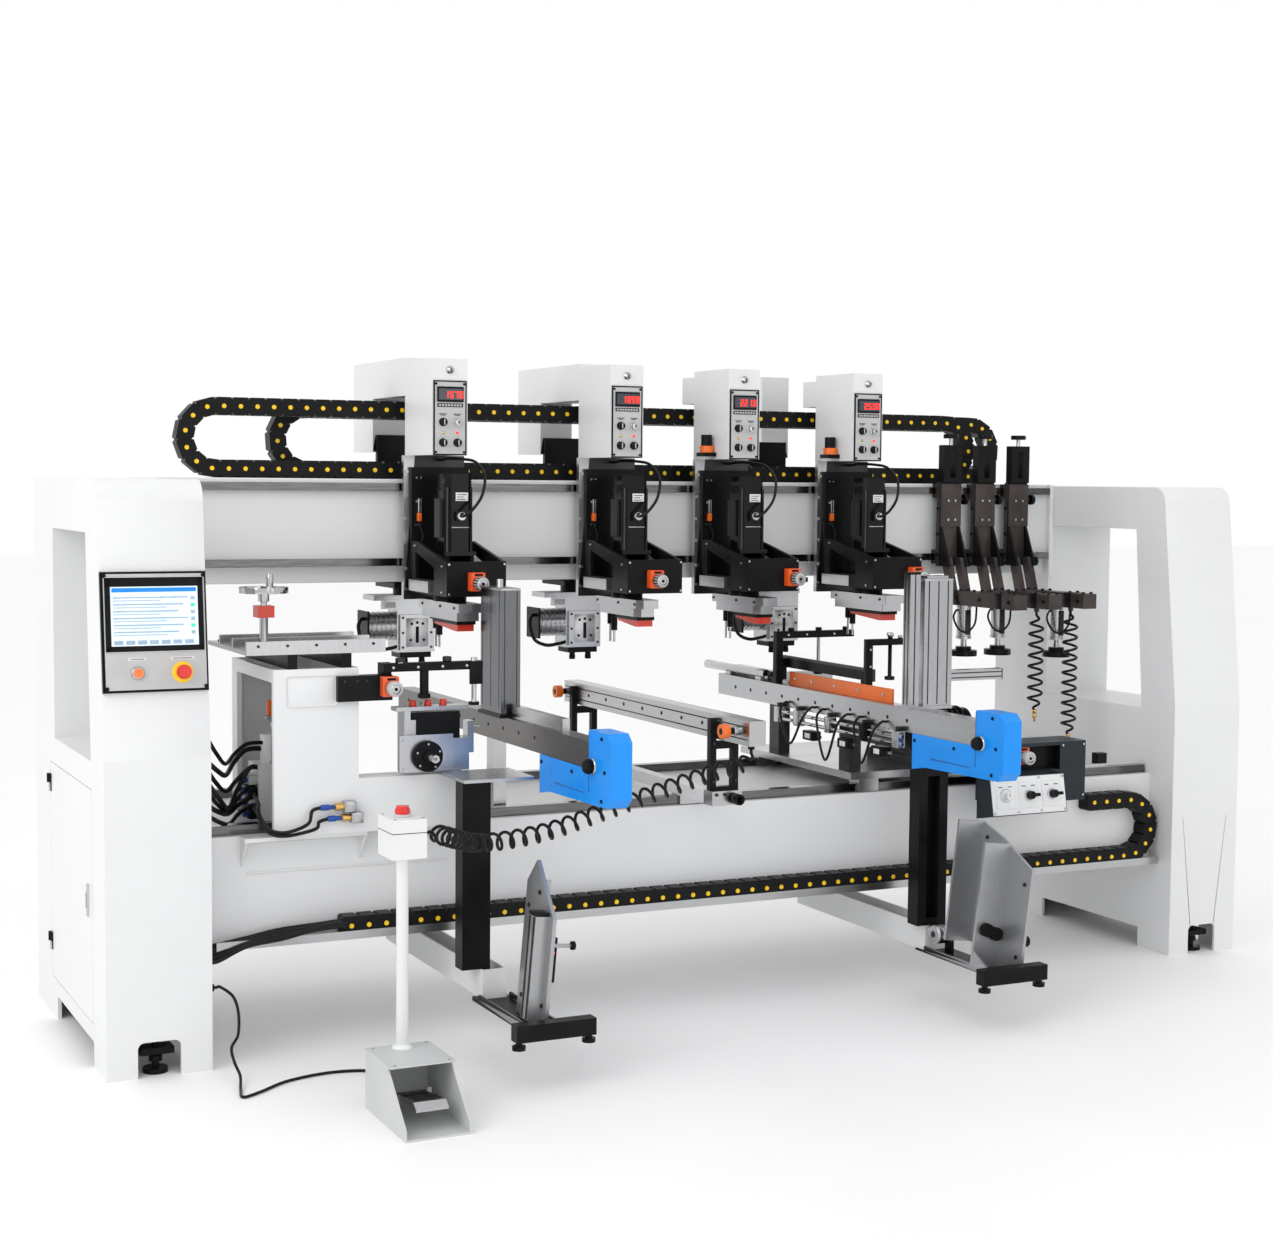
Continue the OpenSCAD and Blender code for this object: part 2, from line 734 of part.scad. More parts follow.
// Saddle, panel bar, fence, clamp posts and end cap of the moving table
module right_table() {
    x = right_bar_x;
    z = work_level;
    color(bare_metal)
        placed() {
            slab([x - 40, x + 640], [front_rail_y - 20, rear_rail_y + 60], [saddle_bottom + 17, saddle_top]);
            for (dx = [0, 520])
                for (y = [front_rail_y, rear_rail_y]) {
                    slab([x + dx, x + dx + 80], [y - 12, y + 52], [saddle_bottom, saddle_bottom + 17]);
                    slab([x + dx, x + dx + 80], [y - 12, y - clearance], [bed_top + 2, saddle_bottom]);
                    slab([x + dx, x + dx + 80], [y + 40 + clearance, y + 52], [bed_top + 2, saddle_bottom]);
                }
            slab([x, x + bar_width], [cap_front + 150, 1190], [bar_bottom, z]);
            for (y = [220, 720])
                slab([x + 6, x + bar_width - 6], [y, y + 70], [saddle_top, bar_bottom]);
            bar_cap(x);
            cap_knob(x);
            slab([x + 40, x + 48], [4, 704], [z, z + 48]);
            slab([x + 72, x + 84], [180, 812], [z + 56, z + 100]);
            for (y = [200, 780])
                slab([x + 48, x + 72], [y, y + 20], [z + 10, z + 90]);
            slab([x + 48, x + 56], [200, 800], [z, z + 10]);
            slab([x - 28, x + 145], [-204, -126], [z, z + 10]);
            slab([x - 28, x + 12], [-200, -160], [z + 10, z + 460]);
            slab([x + 32, x + 145], [-196, -134], [z + 10, z + 437]);
            slab([x + 46, x + 131], [-188, -142], [z + 437, z + 447]);
            slab([x + 145, x + 360], [-186, -150], [z + 90, z + 126]);
            slab([x, x + 340], [734, 760], [z + 170, z + 196]);
            slab([x, x + 28], [734, 760], [z, z + 170]);
            for (dx = [70, 190, 310])
                rod_z([x + dx, 747, z + 196], 12, 24);
            rod_z([x + 190, 747, z + 44], 126, 14);
            rod_z([x + 190, 747, z + 30], 14, 34);
            slab([x + 56, x + 300], [820, 850], [z, z + 34]);
            slab([x + 56, x + 90], [850, 1180], [z, z + 34]);
            rod_y([x + 30, 860, z + 24], 480, 34);
            slab([x + 14, x + 46], [880, 920], [z, z + 12]);
            slab([x + 14, x + 46], [1120, 1160], [z, z + 12]);
        }
}

// Console box with the sloping operator panel on the moving table
module right_console() {
    x = right_column_x - 850;
    z = bed_top;
    color(slate)
        placed() {
            difference() {
                slab([x, x + 376], [-80, 58], [z - 40, z + 173]);
                slab([x - 1, x + 263], [-81, -40], [z + 75, z + 161]);
            }
            plate_x(x - 92, 318, [[-80, z - 32], [-80, z + 73], [-150, z + 73], [-176, z - 60],
                [-80, z - 80]]);
            slab([x + 20, x + 110], [58, front_rail_y - 20], [saddle_bottom + 17, saddle_top]);
            translate([x - 92, -150, z + 73])
                rotate([-11, 0, 0])
                    for (dx = [60, 158, 256])
                        rod_y([dx, -28, -70], 30, 26);
            dial_box(x + 85, -40, z + 98);
            slab([x + 376, x + 550], [22, 46], [z + 56, z + 68]);
            slab([x + 510, x + 550], [16, 52], [z + 68, z + 106]);
        }
}

// Bar on two posts that carries the panel in the middle
module middle_support() {
    x = middle_x;
    base = saddle_bottom;
    deck = base + 48;
    color(bare_metal)
        placed() {
            slab([x - 52, x - 12], [-35, 1080], [base + 4, base + 44]);
            slab([x - 56, x + 54], [-95, -35], [base, deck]);
            for (y = [front_rail_y, rear_rail_y]) {
                slab([x - 50, x + 50], [y - 12, y + 52], [base, base + 4]);
                slab([x - 50, x + 50], [y - 12, y - clearance], [bed_top + 2, base]);
                slab([x - 50, x + 50], [y + 40 + clearance, y + 52], [bed_top + 2, base]);
            }
            slab([x - 56, x + 54], [1000, 1080], [base + 4, deck]);
            for (y = [-72, 1030]) {
                support_upright(x - 52, y, deck);
                slab([x + 30, x + 52], [y, y + 24], [deck, bar_bottom + 30]);
                slab([x - 30, x + 30], [y + 2, y + 22], [bar_bottom - 34, bar_bottom - 8]);
                slab([x - 30, x + 30], [y, y + 24], [deck, deck + 12]);
            }
            slab([x - 30, x - 30 + bar_width], [-290, 1150], [bar_bottom, work_level]);
            for (y = [-206, 1110])
                support_knob(x, y);
            rod_y([x + 26, -104, base + 22], 9, 18);
            rod_y([x + 26, -134, base + 22], 30, 36);
            rod_z([x, hose_end[1], bar_bottom - gland_length], gland_length, 22);
        }
}

// Upright of the middle support with a rounded top beside the bar
module support_upright(x, y, z) {
    slab([x, x + 22], [y, y + 24], [z, work_level - 24]);
    rod_x([x, y + 12, work_level - 24], 22, 24);
}

// Clamping knob on the side of the middle bar
module support_knob(x, y) {
    rod_x([x - 44, y, work_level - 38], 14, 30);
    rod_x([x - 62, y, work_level - 38], 18, 22);
    rod_x([x - 88, y, work_level - 38], 26, 46);
}

// Horizontal boring unit on the left block
module left_drill_unit() {
    floor = arm_top + 10 + clearance;
    color(bare_metal)
        placed() {
            slab([925, 1139], [block_front - 14, 110], [floor, arm_top + 112]);
            slab([925, 945], [block_front - 14, 110], [arm_top + 112, arm_top + 202]);
            slab([945, 1110], [block_front - 8, 104], [arm_top + 112, arm_top + 196]);
            slab([905, 1081], [block_front - 26, block_front - 14], [floor + 4, arm_top + 128]);
            rod_y([993, block_front - 44, arm_top + 62], 18, 96);
            rod_y([993, block_front - 110, arm_top + 62], 66, 24);
            rod_y([993, block_front - 130, arm_top + 62], 20, 10);
            slab([1139, 1160], [block_front, 100], [arm_top + 62, arm_top + 162]);
            for (y = [70, 92])
                rod_x([1160, y, arm_top + 142], 24, 10);
            slab([900, 1139], [block_front - 10, 100], [arm_top + 202, arm_top + 214]);
            for (x = [960, 1010, 1060])
                rod_z([x, block_front + 10, arm_top + 214], 20, 20);
        }
}

// Horizontal boring unit on the moving table
module right_drill_unit() {
    x = right_bar_x;
    deck = saddle_top;
    color(dark_steel)
        placed() {
            slab([x + 270, x + 560], [190, 520], [deck + clearance, deck + 30]);
            slab([x + 280, x + 420], [220, 480], [deck + 30, deck + 190]);
            rod_x([x + 420, 350, deck + 120], 160, 130);
            slab([x + 240, x + 280], [250, 450], [deck + 90, deck + 170]);
            for (y = [270:32:430])
                rod_x([x + 216, y, deck + 130], 24, 10);
            slab([x + 300, x + 400], [480, 640], [deck + 40, deck + 140]);
        }
}

// Handwheel over the left table
module handwheel() {
    color(bare_metal)
        placed()
            translate([526, 200, block_top + 198 + clearance]) {
                cylinder(h = 36, d = 34);
                translate([0, 0, 26])
                    difference() {
                        cylinder(h = 18, d = 150);
                        translate([0, 0, -1])
                            cylinder(h = 20, d = 122);
                    }
                for (a = [0, 120, 240])
                    rotate([0, 0, a])
                        slab([10, 66], [-7, 7], [27, 36]);
                translate([0, -66, 44])
                    cylinder(h = 44, d = 20);
            }
}

// Post and switch box of the pedal stand
module stop_stand() {
    color(white_paint)
        placed() {
            rod_z([stand_x, stand_y, 170], 542, 34);
            difference() {
                slab([stand_x - 50, stand_x + 50], [stand_y - 62, stand_y + 62], [712, 822]);
                rod_z([stand_x, stand_y, 790], 33, 20 + 2 * clearance);
            }
            rod_x([stand_x + 50, hose_start[1], hose_start[2]], gland_length, 22);
        }
}

// Emergency stop mushroom on the pedal stand
module stand_stop_button() {
    color(signal_red)
        placed() {
            rod_z([stand_x, stand_y, 798], 32, 20);
            rod_z([stand_x, stand_y, 830], 14, 42);
            rod_z([stand_x, stand_y, 844], 8, 36);
        }
}

// Hood over the foot pedal
module pedal_hood() {
    x0 = pedal_position;
    x1 = pedal_position + pedal_width;
    rear = pedal_rear;
    color(white_paint)
        placed() {
            for (x = [x0, x1 - 4])
                plate_x(x, 4, [[rear, 0], [rear, 166], [pedal_front + 150, 166], [pedal_front, 30],
                    [pedal_front, 0]]);
            slab([x0 + 4, x1 - 4], [pedal_front, rear], [0, 6]);
            slab([x0 + 4, x1 - 4], [rear - 4, rear], [6, 166]);
            slab([x0 - 2, x1 + 2], [pedal_front + 120, rear], [166, 170]);
            for (x = [x0 + 34, x1 - 46])
                difference() {
                    slab([x, x + 12], [rear - 120, rear - 90], [6, 74]);
                    rod_x([x - 1, rear - 105, 58], 14, 8 + 2 * clearance);
                }
            rod_y([stand_x, rear, 26], gland_length, 20);
        }
}

// Treadle inside the hood
module foot_pedal() {
    x0 = pedal_position + 46 + clearance;
    x1 = pedal_position + pedal_width - 46 - clearance;
    rear = pedal_rear;
    color(bare_metal)
        placed() {
            plate_x(x0, x1 - x0, [[rear - 96, 54], [rear - 96, 62], [pedal_front + 70, 84],
                [pedal_front + 48, 70], [pedal_front + 48, 62], [pedal_front + 68, 76]]);
            rod_x([x0, rear - 105, 58], x1 - x0, 16);
            rod_x([x0 - 8, rear - 105, 58], x1 - x0 + 16, 8);
        }
}

// Cord from the left column to the pedal
module pedal_cord() {
    color(rubber_black)
        placed()
            tube(smooth(cord_points, 4), cord_diameter, 8);
}

// Curled air hose hanging in front of the bed
function hose_hang(share, y, z) =
    [hose_start[0] + (hose_end[0] - hose_start[0]) * share, hose_end[1] + y, hose_end[2] + z];
hose_axis_points = smooth([
    hose_start + [hose_diameter, 0, 0], hose_start + [60, 6, -8], hose_hang(0.214, -80, -221),
    hose_hang(0.4, -20, -216), hose_hang(0.565, 0, -171), hose_hang(0.733, 0, -116),
    hose_hang(0.889, 0, -68), hose_end - [40, 0, 48], hose_end - [4, 0, 26], hose_end - [0, 0, hose_diameter]
], 4);
coil_curve = with_ends(coil(hose_axis_points, 30, 25), [1, 0, 0], [0, 0, 1], hose_diameter);
module coil_hose() {
    color(rubber_black)
        placed()
            tube(coil_curve, hose_diameter, 6);
}
echo(coil_hose_self_gap = self_gap(coil_curve, hose_diameter));

// Curled hoses hanging from the pressers
presser_hose_y = 366;
presser_hose_top = presser_arm_bottom - gland_length - hose_diameter;
function hose_axis(k, bottom) = [for (i = [0:10])
    [presser_x + presser_pitch * (k - 1) + presser_width / 2, presser_hose_y,
        presser_hose_top + (bottom - presser_hose_top) * i / 10]];
hose_3_curve = with_ends(coil(hose_axis(3, work_level - 200), 12, 26), [0, 0, -1], [0, 0, -1], hose_diameter);
hose_2_curve = with_ends(coil(hose_axis(2, work_level - 100), 9, 26), [0, 0, -1], [0, 0, -1], hose_diameter);
module presser_hose_3() {
    color(rubber_black)
        placed()
            tube(hose_3_curve, 9, 6);
}
module presser_hose_2() {
    color(rubber_black)
        placed()
            tube(hose_2_curve, 9, 6);
}
echo(presser_hose_self_gap = min(self_gap(hose_3_curve, 9), self_gap(hose_2_curve, 9)));

// Carriage with trucks on both beam rails and the control box over the beam
module head_carriage(x, full) {
    color(white_paint)
        placed() {
            difference() {
                union() {
                    slab([x, x + box_width], [box_front, box_rear], [box_bottom, box_top]);
                    slab([x, x + box_width], [box_rear, full ? housing_rear : 885],
                        [bridge_bottom, full ? box_top + 14 : box_top - 20]);
                    if (full)
                        slab([x, x + box_width], [rear_box_front, housing_rear],
                            [rear_box_bottom, bridge_bottom]);
                }
                slab([x + 10, x + box_width - 10], [box_front + 10, box_rear - 10],
                    [box_bottom - 1, box_top - 10]);
            }
            slab([x + 9, x + box_width - 9], [box_front - 4, box_front], [box_bottom + 4, box_bottom + 244]);
            slab([x + 18, x + box_width - 18], [box_front - 7, box_front - 4],
                [box_bottom + 178, box_bottom + 226]);
            for (dx = [38, box_width - 38])
                for (z = [42, 110])
                    rod_y([x + dx, box_front - 20, box_bottom + z], 16, 22);
            rod_y([x + box_width / 2, box_front - 12, box_top - 38], 12, 18);
            slab([x - 30, x + bracket_width - 19], [carriage_front, carriage_front + 20],
                [beam_bottom - 56, box_bottom]);
            for (z = [lower_rail_z, upper_rail_z])
                for (dx = [4, bracket_width - 75])
                    difference() {
                        slab([x + dx, x + dx + 60], [carriage_front + 20, beam_front - 2],
                            [z - 14, z + beam_rail + 14]);
                        slab([x + dx - 1, x + dx + 61], [rail_front - clearance, beam_front],
                            [z - clearance, z + beam_rail + clearance]);
                    }
            if (full) {
                slab([x + 10, x + 190], [beam_rear + 34, rear_box_front], [hanger_bottom, rear_box_bottom + 60]);
                rear_truck([x + 10, x + 190]);
                slab([x + 10, x + 190], [930, beam_rear + 34], [hanger_bottom, hanger_bottom + 18]);
                under_unit(x + 35, 1020, hanger_bottom);
            }
            if (!full)
                lift_cylinder(x - 26, 640);
        }
}

// Vertical lift cylinder with its collar beside the control box
module lift_cylinder(x, y) {
    slab([x - 26, x + 30], [y - 28, y + 28], [box_bottom + 10, box_bottom + 24]);
    rod_z([x, y, box_bottom + 24], 24, 50);
    rod_z([x, y, box_bottom + 48], 40, 40);
}

// Truck on the rear rail of the beam
module rear_truck(x) {
    difference() {
        slab(x, [beam_rear + 2, beam_rear + 34], [upper_rail_z - 14, upper_rail_z + beam_rail + 12]);
        slab([x[0] - 1, x[1] + 1], [beam_rear, beam_rear + 16 + clearance],
            [upper_rail_z - clearance, upper_rail_z + beam_rail + clearance]);
    }
}

// Boring unit hanging under the beam on a turntable
module under_unit(x, y, z) {
    rod_z([x + 70, y, z - 26], 26, 130);
    slab([x - 90, x + 141], [y - 60, y + 60], [z - 44, z - 26]);
    slab([x, x + 141], [y - 50, y + 50], [z - 230, z - 44]);
    rod_x([x - 104, y, z - 138], 104, 100);
    slab([x - 112, x - 104], [y - 56, y + 56], [z - 194, z - 82]);
    slab([x - 60, x + 4], [y - 62, y - 46], [z - 74, z - 40]);
    slab([x + 8, x + 133], [y - 62, y - 50], [z - 222, z - 96]);
    slab([x + 12, x + 129], [y - 46, y + 46], [z - 250, z - 230]);
    for (k = [-1, 1])
        rod_z([x + 70 + k * spindle_pitch, y - 24, z - 276], 26, 20);
}

// Separate rear boring unit between heads 3 and 4
module rear_unit() {
    x = head_3 + machine_length * 0.09445;
    color(white_paint)
        placed() {
            slab([x + 80, x + 200], [rear_box_front, housing_rear], [rear_box_bottom, box_top + 10]);
            slab([x + 20, x + 180], [beam_rear + 34, rear_box_front], [hanger_bottom, rear_box_bottom + 60]);
            rear_truck([x + 20, x + 180]);
            slab([x + 20, x + 180], [930, beam_rear + 34], [hanger_bottom, hanger_bottom + 18]);
            under_unit(x + 20, 1020, hanger_bottom);
        }
}

// Black bracket that slides down the carriage, with its position indicator
module head_slide(x, dial) {
    z = bracket_bottom;
    left = x - 9;
    right = x - 9 + bracket_width;
    color(black_paint)
        placed() {
            slab([left, right], [slide_front, slide_front + 20], [z + 14, box_bottom - 40]);
            for (gx = [left, right - 12])
                difference() {
                    plate_x(gx, 12, [[slide_front, z], [slide_front, z + 174], [slide_front - 60, z + 174],
                        [bracket_front + 12, z + 116], [bracket_front + 12, z]]);
                    plate_x(gx - 1, 14, [[slide_front - 40, z + 49], [slide_front - 40, z + 139],
                        [bracket_front + 120, z + 91], [bracket_front + 120, z + 49]]);
                }
            slab([left, right], [bracket_front, bracket_front + 12], [z, z + 116]);
            slab([left + 12, right - 12], [bracket_front + 12, slide_front + 20], [z, z + 14]);
            slab([x + 40, x + 40 + motor_side], [600, 612], [z + 14, motor_bottom - 20]);
            slab([x + 40, x + 52], [495, 600], [z + 14, motor_bottom - 20]);
            slab([x + 28 + motor_side, x + 40 + motor_side], [495, 600], [z + 14, motor_bottom - 20]);
            slab([left - 10, left], [bracket_front + 150, slide_front], [z + 6, z + 44]);
            dial_box(x + dial, bracket_front, z + 20);
        }
}

// Square motor with a ribbed cap and a flange
module motor(x) {
    side = motor_side;
    top = motor_bottom + motor_height;
    color(black_paint)
        placed() {
            slab([x + 34, x + 46 + side], [489, 606], [motor_bottom - 20, motor_bottom - 6]);
            motor_block(x + 40, 495, side, 20, [motor_bottom - 6, top - 56]);
            motor_block(x + 44, 499, side - 8, 16, [top - 56, top - 48]);
            for (k = [0:5])
                motor_block(x + 41, 496, side - 2, 19, [top - 48 + k * 8, top - 43 + k * 8]);
            motor_block(x + 44, 499, side - 8, 16, [top - 43, top - 3]);
            for (dx = [8, side - 8])
                for (dy = [8, side - 8])
                    rod_z([x + 40 + dx, 495 + dy, motor_bottom - 6], motor_height - 42, 9);
            slab([x + 26, x + 40], [520, 570], [motor_bottom + 40, motor_bottom + 170]);
            slab([x + 72, x + 104], [483, 495], [motor_bottom + 96, motor_bottom + 128]);
            rod_y([x + 88, 470, motor_bottom + 112], 13, 26);
        }
}

// Square section with cut corners
module motor_block(x, y, side, cut, z) {
    translate([x, y, z[0]])
        linear_extrude(z[1] - z[0])
            polygon([[cut, 0], [side - cut, 0], [side, cut], [side, side - cut],
                [side - cut, side], [cut, side], [0, side - cut], [0, cut]]);
}

// Gear head of two stacked blocks, with spindle cover and side spindles
module gear_head(x, chamfer, cover_rear) {
    x0 = x + 53 - gear_width / 2;
    x1 = x + 53 + gear_width / 2;
    z = gear_bottom;
    color(bare_metal)
        placed()
            difference() {
                union() {
                    rod_z([x + 53, flange_y, gear_top], 20, 110);
                    gear_block([x0, x1], [300, 680], [gear_top - 29, gear_top], chamfer);
                    gear_block([x0 + 4, x1 - 4], [325, 655], [z, gear_top - 29], chamfer);
                    slab([x0 + 10, x1 - 10], [340, cover_rear + 10], [z - 12, z]);
                    plate_x(x0 + 14, gear_width - 28, [[346, z - 12], [cover_rear, z - 12], [cover_rear, z - 20],
                        [372, z - 34], [346, z - 34]]);
                    rod_z([x + 53, spindle_y + spindle_pitch, z - 42], 42, 22);
                    rod_z([x + 53, spindle_y + spindle_pitch, z - 104], 62, 8);
                }
                rod_z([x + 53, spindle_y, z - 60], 100, spindle_diameter + 2 * clearance);
            }
}

module gear_block(x, y, z, chamfer) {
    c = chamfer;
    translate([0, 0, z[0]])
        linear_extrude(z[1] - z[0])
            polygon([[x[0], y[0] + c], [x[0] + c / 2, y[0]], [x[1] - c / 2, y[0]], [x[1], y[0] + c],
                [x[1], y[1] - c], [x[1] - c / 2, y[1]], [x[0] + c / 2, y[1]], [x[0], y[1] - c]]);
}

// Turning spindle with chuck and bit
module spindle(x) {
    color(bare_metal)
        placed()
            translate([x + 53, spindle_y, 0]) {
                difference() {
                    translate([0, 0, gear_bottom - 62])
                        cylinder(h = 100, d = spindle_diameter);
                    slab([spindle_diameter / 2 - 3, spindle_diameter], [-8, 8],
                        [gear_bottom - 58, gear_bottom - 44]);
                }
                translate([0, 0, gear_bottom - 66])
                    cylinder(h = 4, d = 14);
                translate([0, 0, gear_bottom - 104])
                    cylinder(h = 38, d = 8);
            }
}

// Presser upright on the beam rails with its leaning leg and forward arm
module presser(k) {
    x = presser_x + (k - 1) * presser_pitch;
    w = presser_width;
    front = carriage_front;
    z = beam_bottom;
    color(black_paint)
        placed() {
            slab([x + 8, x + w - 8], [front, front + 20], [lower_rail_z - 22, beam_top + 6]);
            for (rail = [lower_rail_z, upper_rail_z])
                difference() {
                    slab([x + 12, x + w - 12], [front + 20, beam_front - 2], [rail - 14, rail + beam_rail + 14]);
                    slab([x, x + w], [rail_front - clearance, beam_front],
                        [rail - clearance, rail + beam_rail + clearance]);
                }
            difference() {
                slab([x + 14, x + w - 14], [front - 18, front + 20], [beam_top + 6, beam_top + 150]);
                slab([x + 44, x + w - 44], [front - 19, front + 21], [beam_top + 24, beam_top + 128]);
            }
            rod_z([x + w / 2, front + 1, beam_top + 150], 26, 16);
            rod_z([x + w / 2, front + 1, beam_top + 176], 16, 58);
            slab([x + 10, x + w - 10], [front - 10, front], [z + 189, beam_top]);
            for (dx = [10, w - 20])
                plate_x(x + dx, 10, [[front, z + 199], [front, z + 35], [front - 70, z + 35]]);
            for (dx = [14, w - 38])
                plate_x(x + dx, 24, [[front - 8, z + 69], [front - 48, z + 69],
                    [front - 108, presser_arm_bottom], [front - 68, presser_arm_bottom]]);
            slab([x + 26, x + w - 26], [252, front - 60], [presser_arm_bottom, presser_arm_bottom + 56]);
            if (k > 1)
                rod_z([x + w / 2, presser_hose_y, presser_arm_bottom - gland_length], gland_length, 20);
            rod_x([x + w - 8, front + 8, upper_rail_z - 20], 18, 16);
            rod_x([x + w + 10, front + 8, upper_rail_z - 20], 14, 40);
            difference() {
                rod_z([x + w / 2, presser_rod_y(k), presser_arm_bottom - 130], 130, 54);
                rod_z([x + w / 2, presser_rod_y(k), presser_arm_bottom - 131], 110, 24 + 2 * clearance);
            }
        }
}

// Distance of a presser rod behind the column fronts
function presser_rod_y(k) = k == 3 ? 450 : 610;

// Moving rod of a presser with its pad
module presser_rod(k) {
    x = presser_x + (k - 1) * presser_pitch + presser_width / 2;
    y = presser_rod_y(k);
    color(dark_steel)
        placed() {
            rod_z([x, y, presser_arm_bottom - 160], 120, 24);
            rod_z([x, y, presser_arm_bottom - 174], 14, 60);
            rod_z([x, y, presser_arm_bottom - 196], 22, 104);
        }
}

module head_carriage_1() { head_carriage(head_1, true); }
module head_carriage_2() { head_carriage(head_2, true); }
module head_carriage_3() { head_carriage(head_3, false); }
module head_carriage_4() { head_carriage(head_4, false); }
module head_slide_1() { head_slide(head_1, 64); }
module head_slide_2() { head_slide(head_2, 64); }
module head_slide_3() { head_slide(head_3, 140); }
module head_slide_4() { head_slide(head_4, 140); }
module motor_1() { motor(head_1); }
module motor_2() { motor(head_2); }
module motor_3() { motor(head_3); }
module motor_4() { motor(head_4); }
module gear_head_1() { gear_head(head_1, 2, 560); }
module gear_head_2() { gear_head(head_2, 30, 500); }
module gear_head_3() { gear_head(head_3, 30, 500); }
module gear_head_4() { gear_head(head_4, 2, 560); }
module spindle_1() { spindle(head_1); }
module spindle_2() { spindle(head_2); }
module spindle_3() { spindle(head_3); }
module spindle_4() { spindle(head_4); }
module presser_1() { presser(1); }
module presser_2() { presser(2); }
module presser_3() { presser(3); }
module presser_rod_1() { presser_rod(1); }
module presser_rod_2() { presser_rod(2); }
module presser_rod_3() { presser_rod(3); }

left_column();
right_column();
upper_beam();
lower_bed();
guide_rails();
head_cable_chain();
bed_cable_chain();
chain_tray();
levelling_feet();
control_panel();
left_block();
left_table();
left_outrigger();
control_gear();
stop_stand();
pedal_hood();
pedal_cord();
coil_hose();
cabinet_door();
panel_stop_button();
panel_start_button();
stand_stop_button();
foot_pedal();
head_carriage_1();
head_carriage_2();
head_carriage_3();
head_carriage_4();
head_slide_1();
head_slide_2();
head_slide_3();
head_slide_4();
motor_1();
motor_2();
motor_3();
motor_4();
gear_head_1();
gear_head_2();
gear_head_3();
gear_head_4();
spindle_1();
spindle_2();
spindle_3();
spindle_4();
rear_unit();
presser_1();
presser_2();
presser_3();
presser_rod_1();
presser_rod_2();
presser_rod_3();
presser_hose_2();
presser_hose_3();
right_table();
right_console();
right_outrigger();
middle_support();
left_drill_unit();
right_drill_unit();
handwheel();
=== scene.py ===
"""Dresses the line boring machine: finishes, fittings, hoses, light and camera."""

import logging
import math
from dataclasses import dataclass
from enum import Enum
from typing import Iterable, Optional, Sequence

import bmesh
import bpy
from mathutils import Matrix, Vector


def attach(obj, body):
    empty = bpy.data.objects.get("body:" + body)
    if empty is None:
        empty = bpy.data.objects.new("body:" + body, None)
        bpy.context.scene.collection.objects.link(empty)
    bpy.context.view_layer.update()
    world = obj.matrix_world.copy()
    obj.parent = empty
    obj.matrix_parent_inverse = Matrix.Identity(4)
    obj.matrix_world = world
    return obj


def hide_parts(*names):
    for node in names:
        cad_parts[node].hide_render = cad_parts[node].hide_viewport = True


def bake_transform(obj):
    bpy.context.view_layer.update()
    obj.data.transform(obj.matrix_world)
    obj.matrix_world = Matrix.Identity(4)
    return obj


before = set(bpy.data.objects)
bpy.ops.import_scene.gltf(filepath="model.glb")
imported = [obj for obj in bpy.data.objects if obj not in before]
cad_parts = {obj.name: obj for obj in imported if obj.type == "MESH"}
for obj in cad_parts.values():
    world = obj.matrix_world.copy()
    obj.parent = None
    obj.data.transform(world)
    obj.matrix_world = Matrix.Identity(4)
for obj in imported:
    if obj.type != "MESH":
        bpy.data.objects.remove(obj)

log = logging.getLogger("line_boring_machine")

Point = tuple[float, float, float]
Pair = tuple[float, float]

ORIGIN: Point = (0.0, 0.0, 0.0)
PER_METRE = 1000.0

# Shared frame's origin, in millimetres from the left column's foot.
SHIFT_X = 2111.5
SHIFT_Y = 242.0

# Places of the machine, in millimetres from the left column's foot.
COLUMN_WIDTH = 311.0
STAND: Point = (702.0, -570.0, 0.0)
LEFT_BAR = 1282.0
MIDDLE_X = 1985.44
RIGHT_BAR = 2640.0
CONSOLE: Point = (2982.0, -150.0, 745.0)
REAR_UNIT = 2729.0
PRESSER_X = 3342.0
PRESSER_PITCH = 160.0
WORK = 1000.0
UNDER_UNIT_OFFSET = 35.0

# Left side and indicator of each head, heads that carry a unit below, and rods of the pressers.
HEADS = ((1189.0, 64.0), (1844.0, 64.0), (2309.0, 140.0), (2829.0, 140.0))
HEADS_WITH_UNIT = 2
PRESSER_RODS = (610.0, 610.0, 450.0)

# Looks shared by all finishes.
BRUSH_STRETCH = 0.04
RELIEF_DEPTH = 0.0006
COAT_ROUGHNESS = 0.08
GLOSS_DRIFT = 0.18
TONE_PLACES = (0.3, 0.7)
SHARP_EDGE = math.radians(35)
SOFT_EDGE = math.radians(50)
WELD_REACH = 0.00002
HEAD_TAPER = 0.86
CABLE_STEPS = 8
CURL_LOOK = 0.012

BOX_QUADS = ((0, 1, 3, 2), (4, 6, 7, 5), (0, 4, 5, 1), (2, 3, 7, 6), (0, 2, 6, 4), (1, 5, 7, 3))
BOLT = ((0, 7), (4, 7), (5, 5))


def spot(x: float, y: float, z: float) -> Vector:
    """Turns millimetres from the left column's foot into the shared frame in metres."""
    return Vector(((x - SHIFT_X) / PER_METRE, (y - SHIFT_Y) / PER_METRE, z / PER_METRE))


def tilt(place: Point, degrees: float, axis: str) -> Matrix:
    """Stands forms that are measured from zero on a place and turns them there.

    Args:
        place: place in millimetres.
        degrees: turn about the axis.
        axis: X, Y or Z.

    Returns:
        The matrix in metres.
    """
    turn = Matrix.Rotation(math.radians(degrees), 4, axis)
    return Matrix.Translation(spot(*place)) @ turn @ Matrix.Translation(-spot(*ORIGIN))


def grid(xs: Iterable[float], ys: Iterable[float], zs: Iterable[float]) -> list[Point]:
    """Gives a point at every crossing of the given places."""
    return [(x, y, z) for x in xs for y in ys for z in zs]


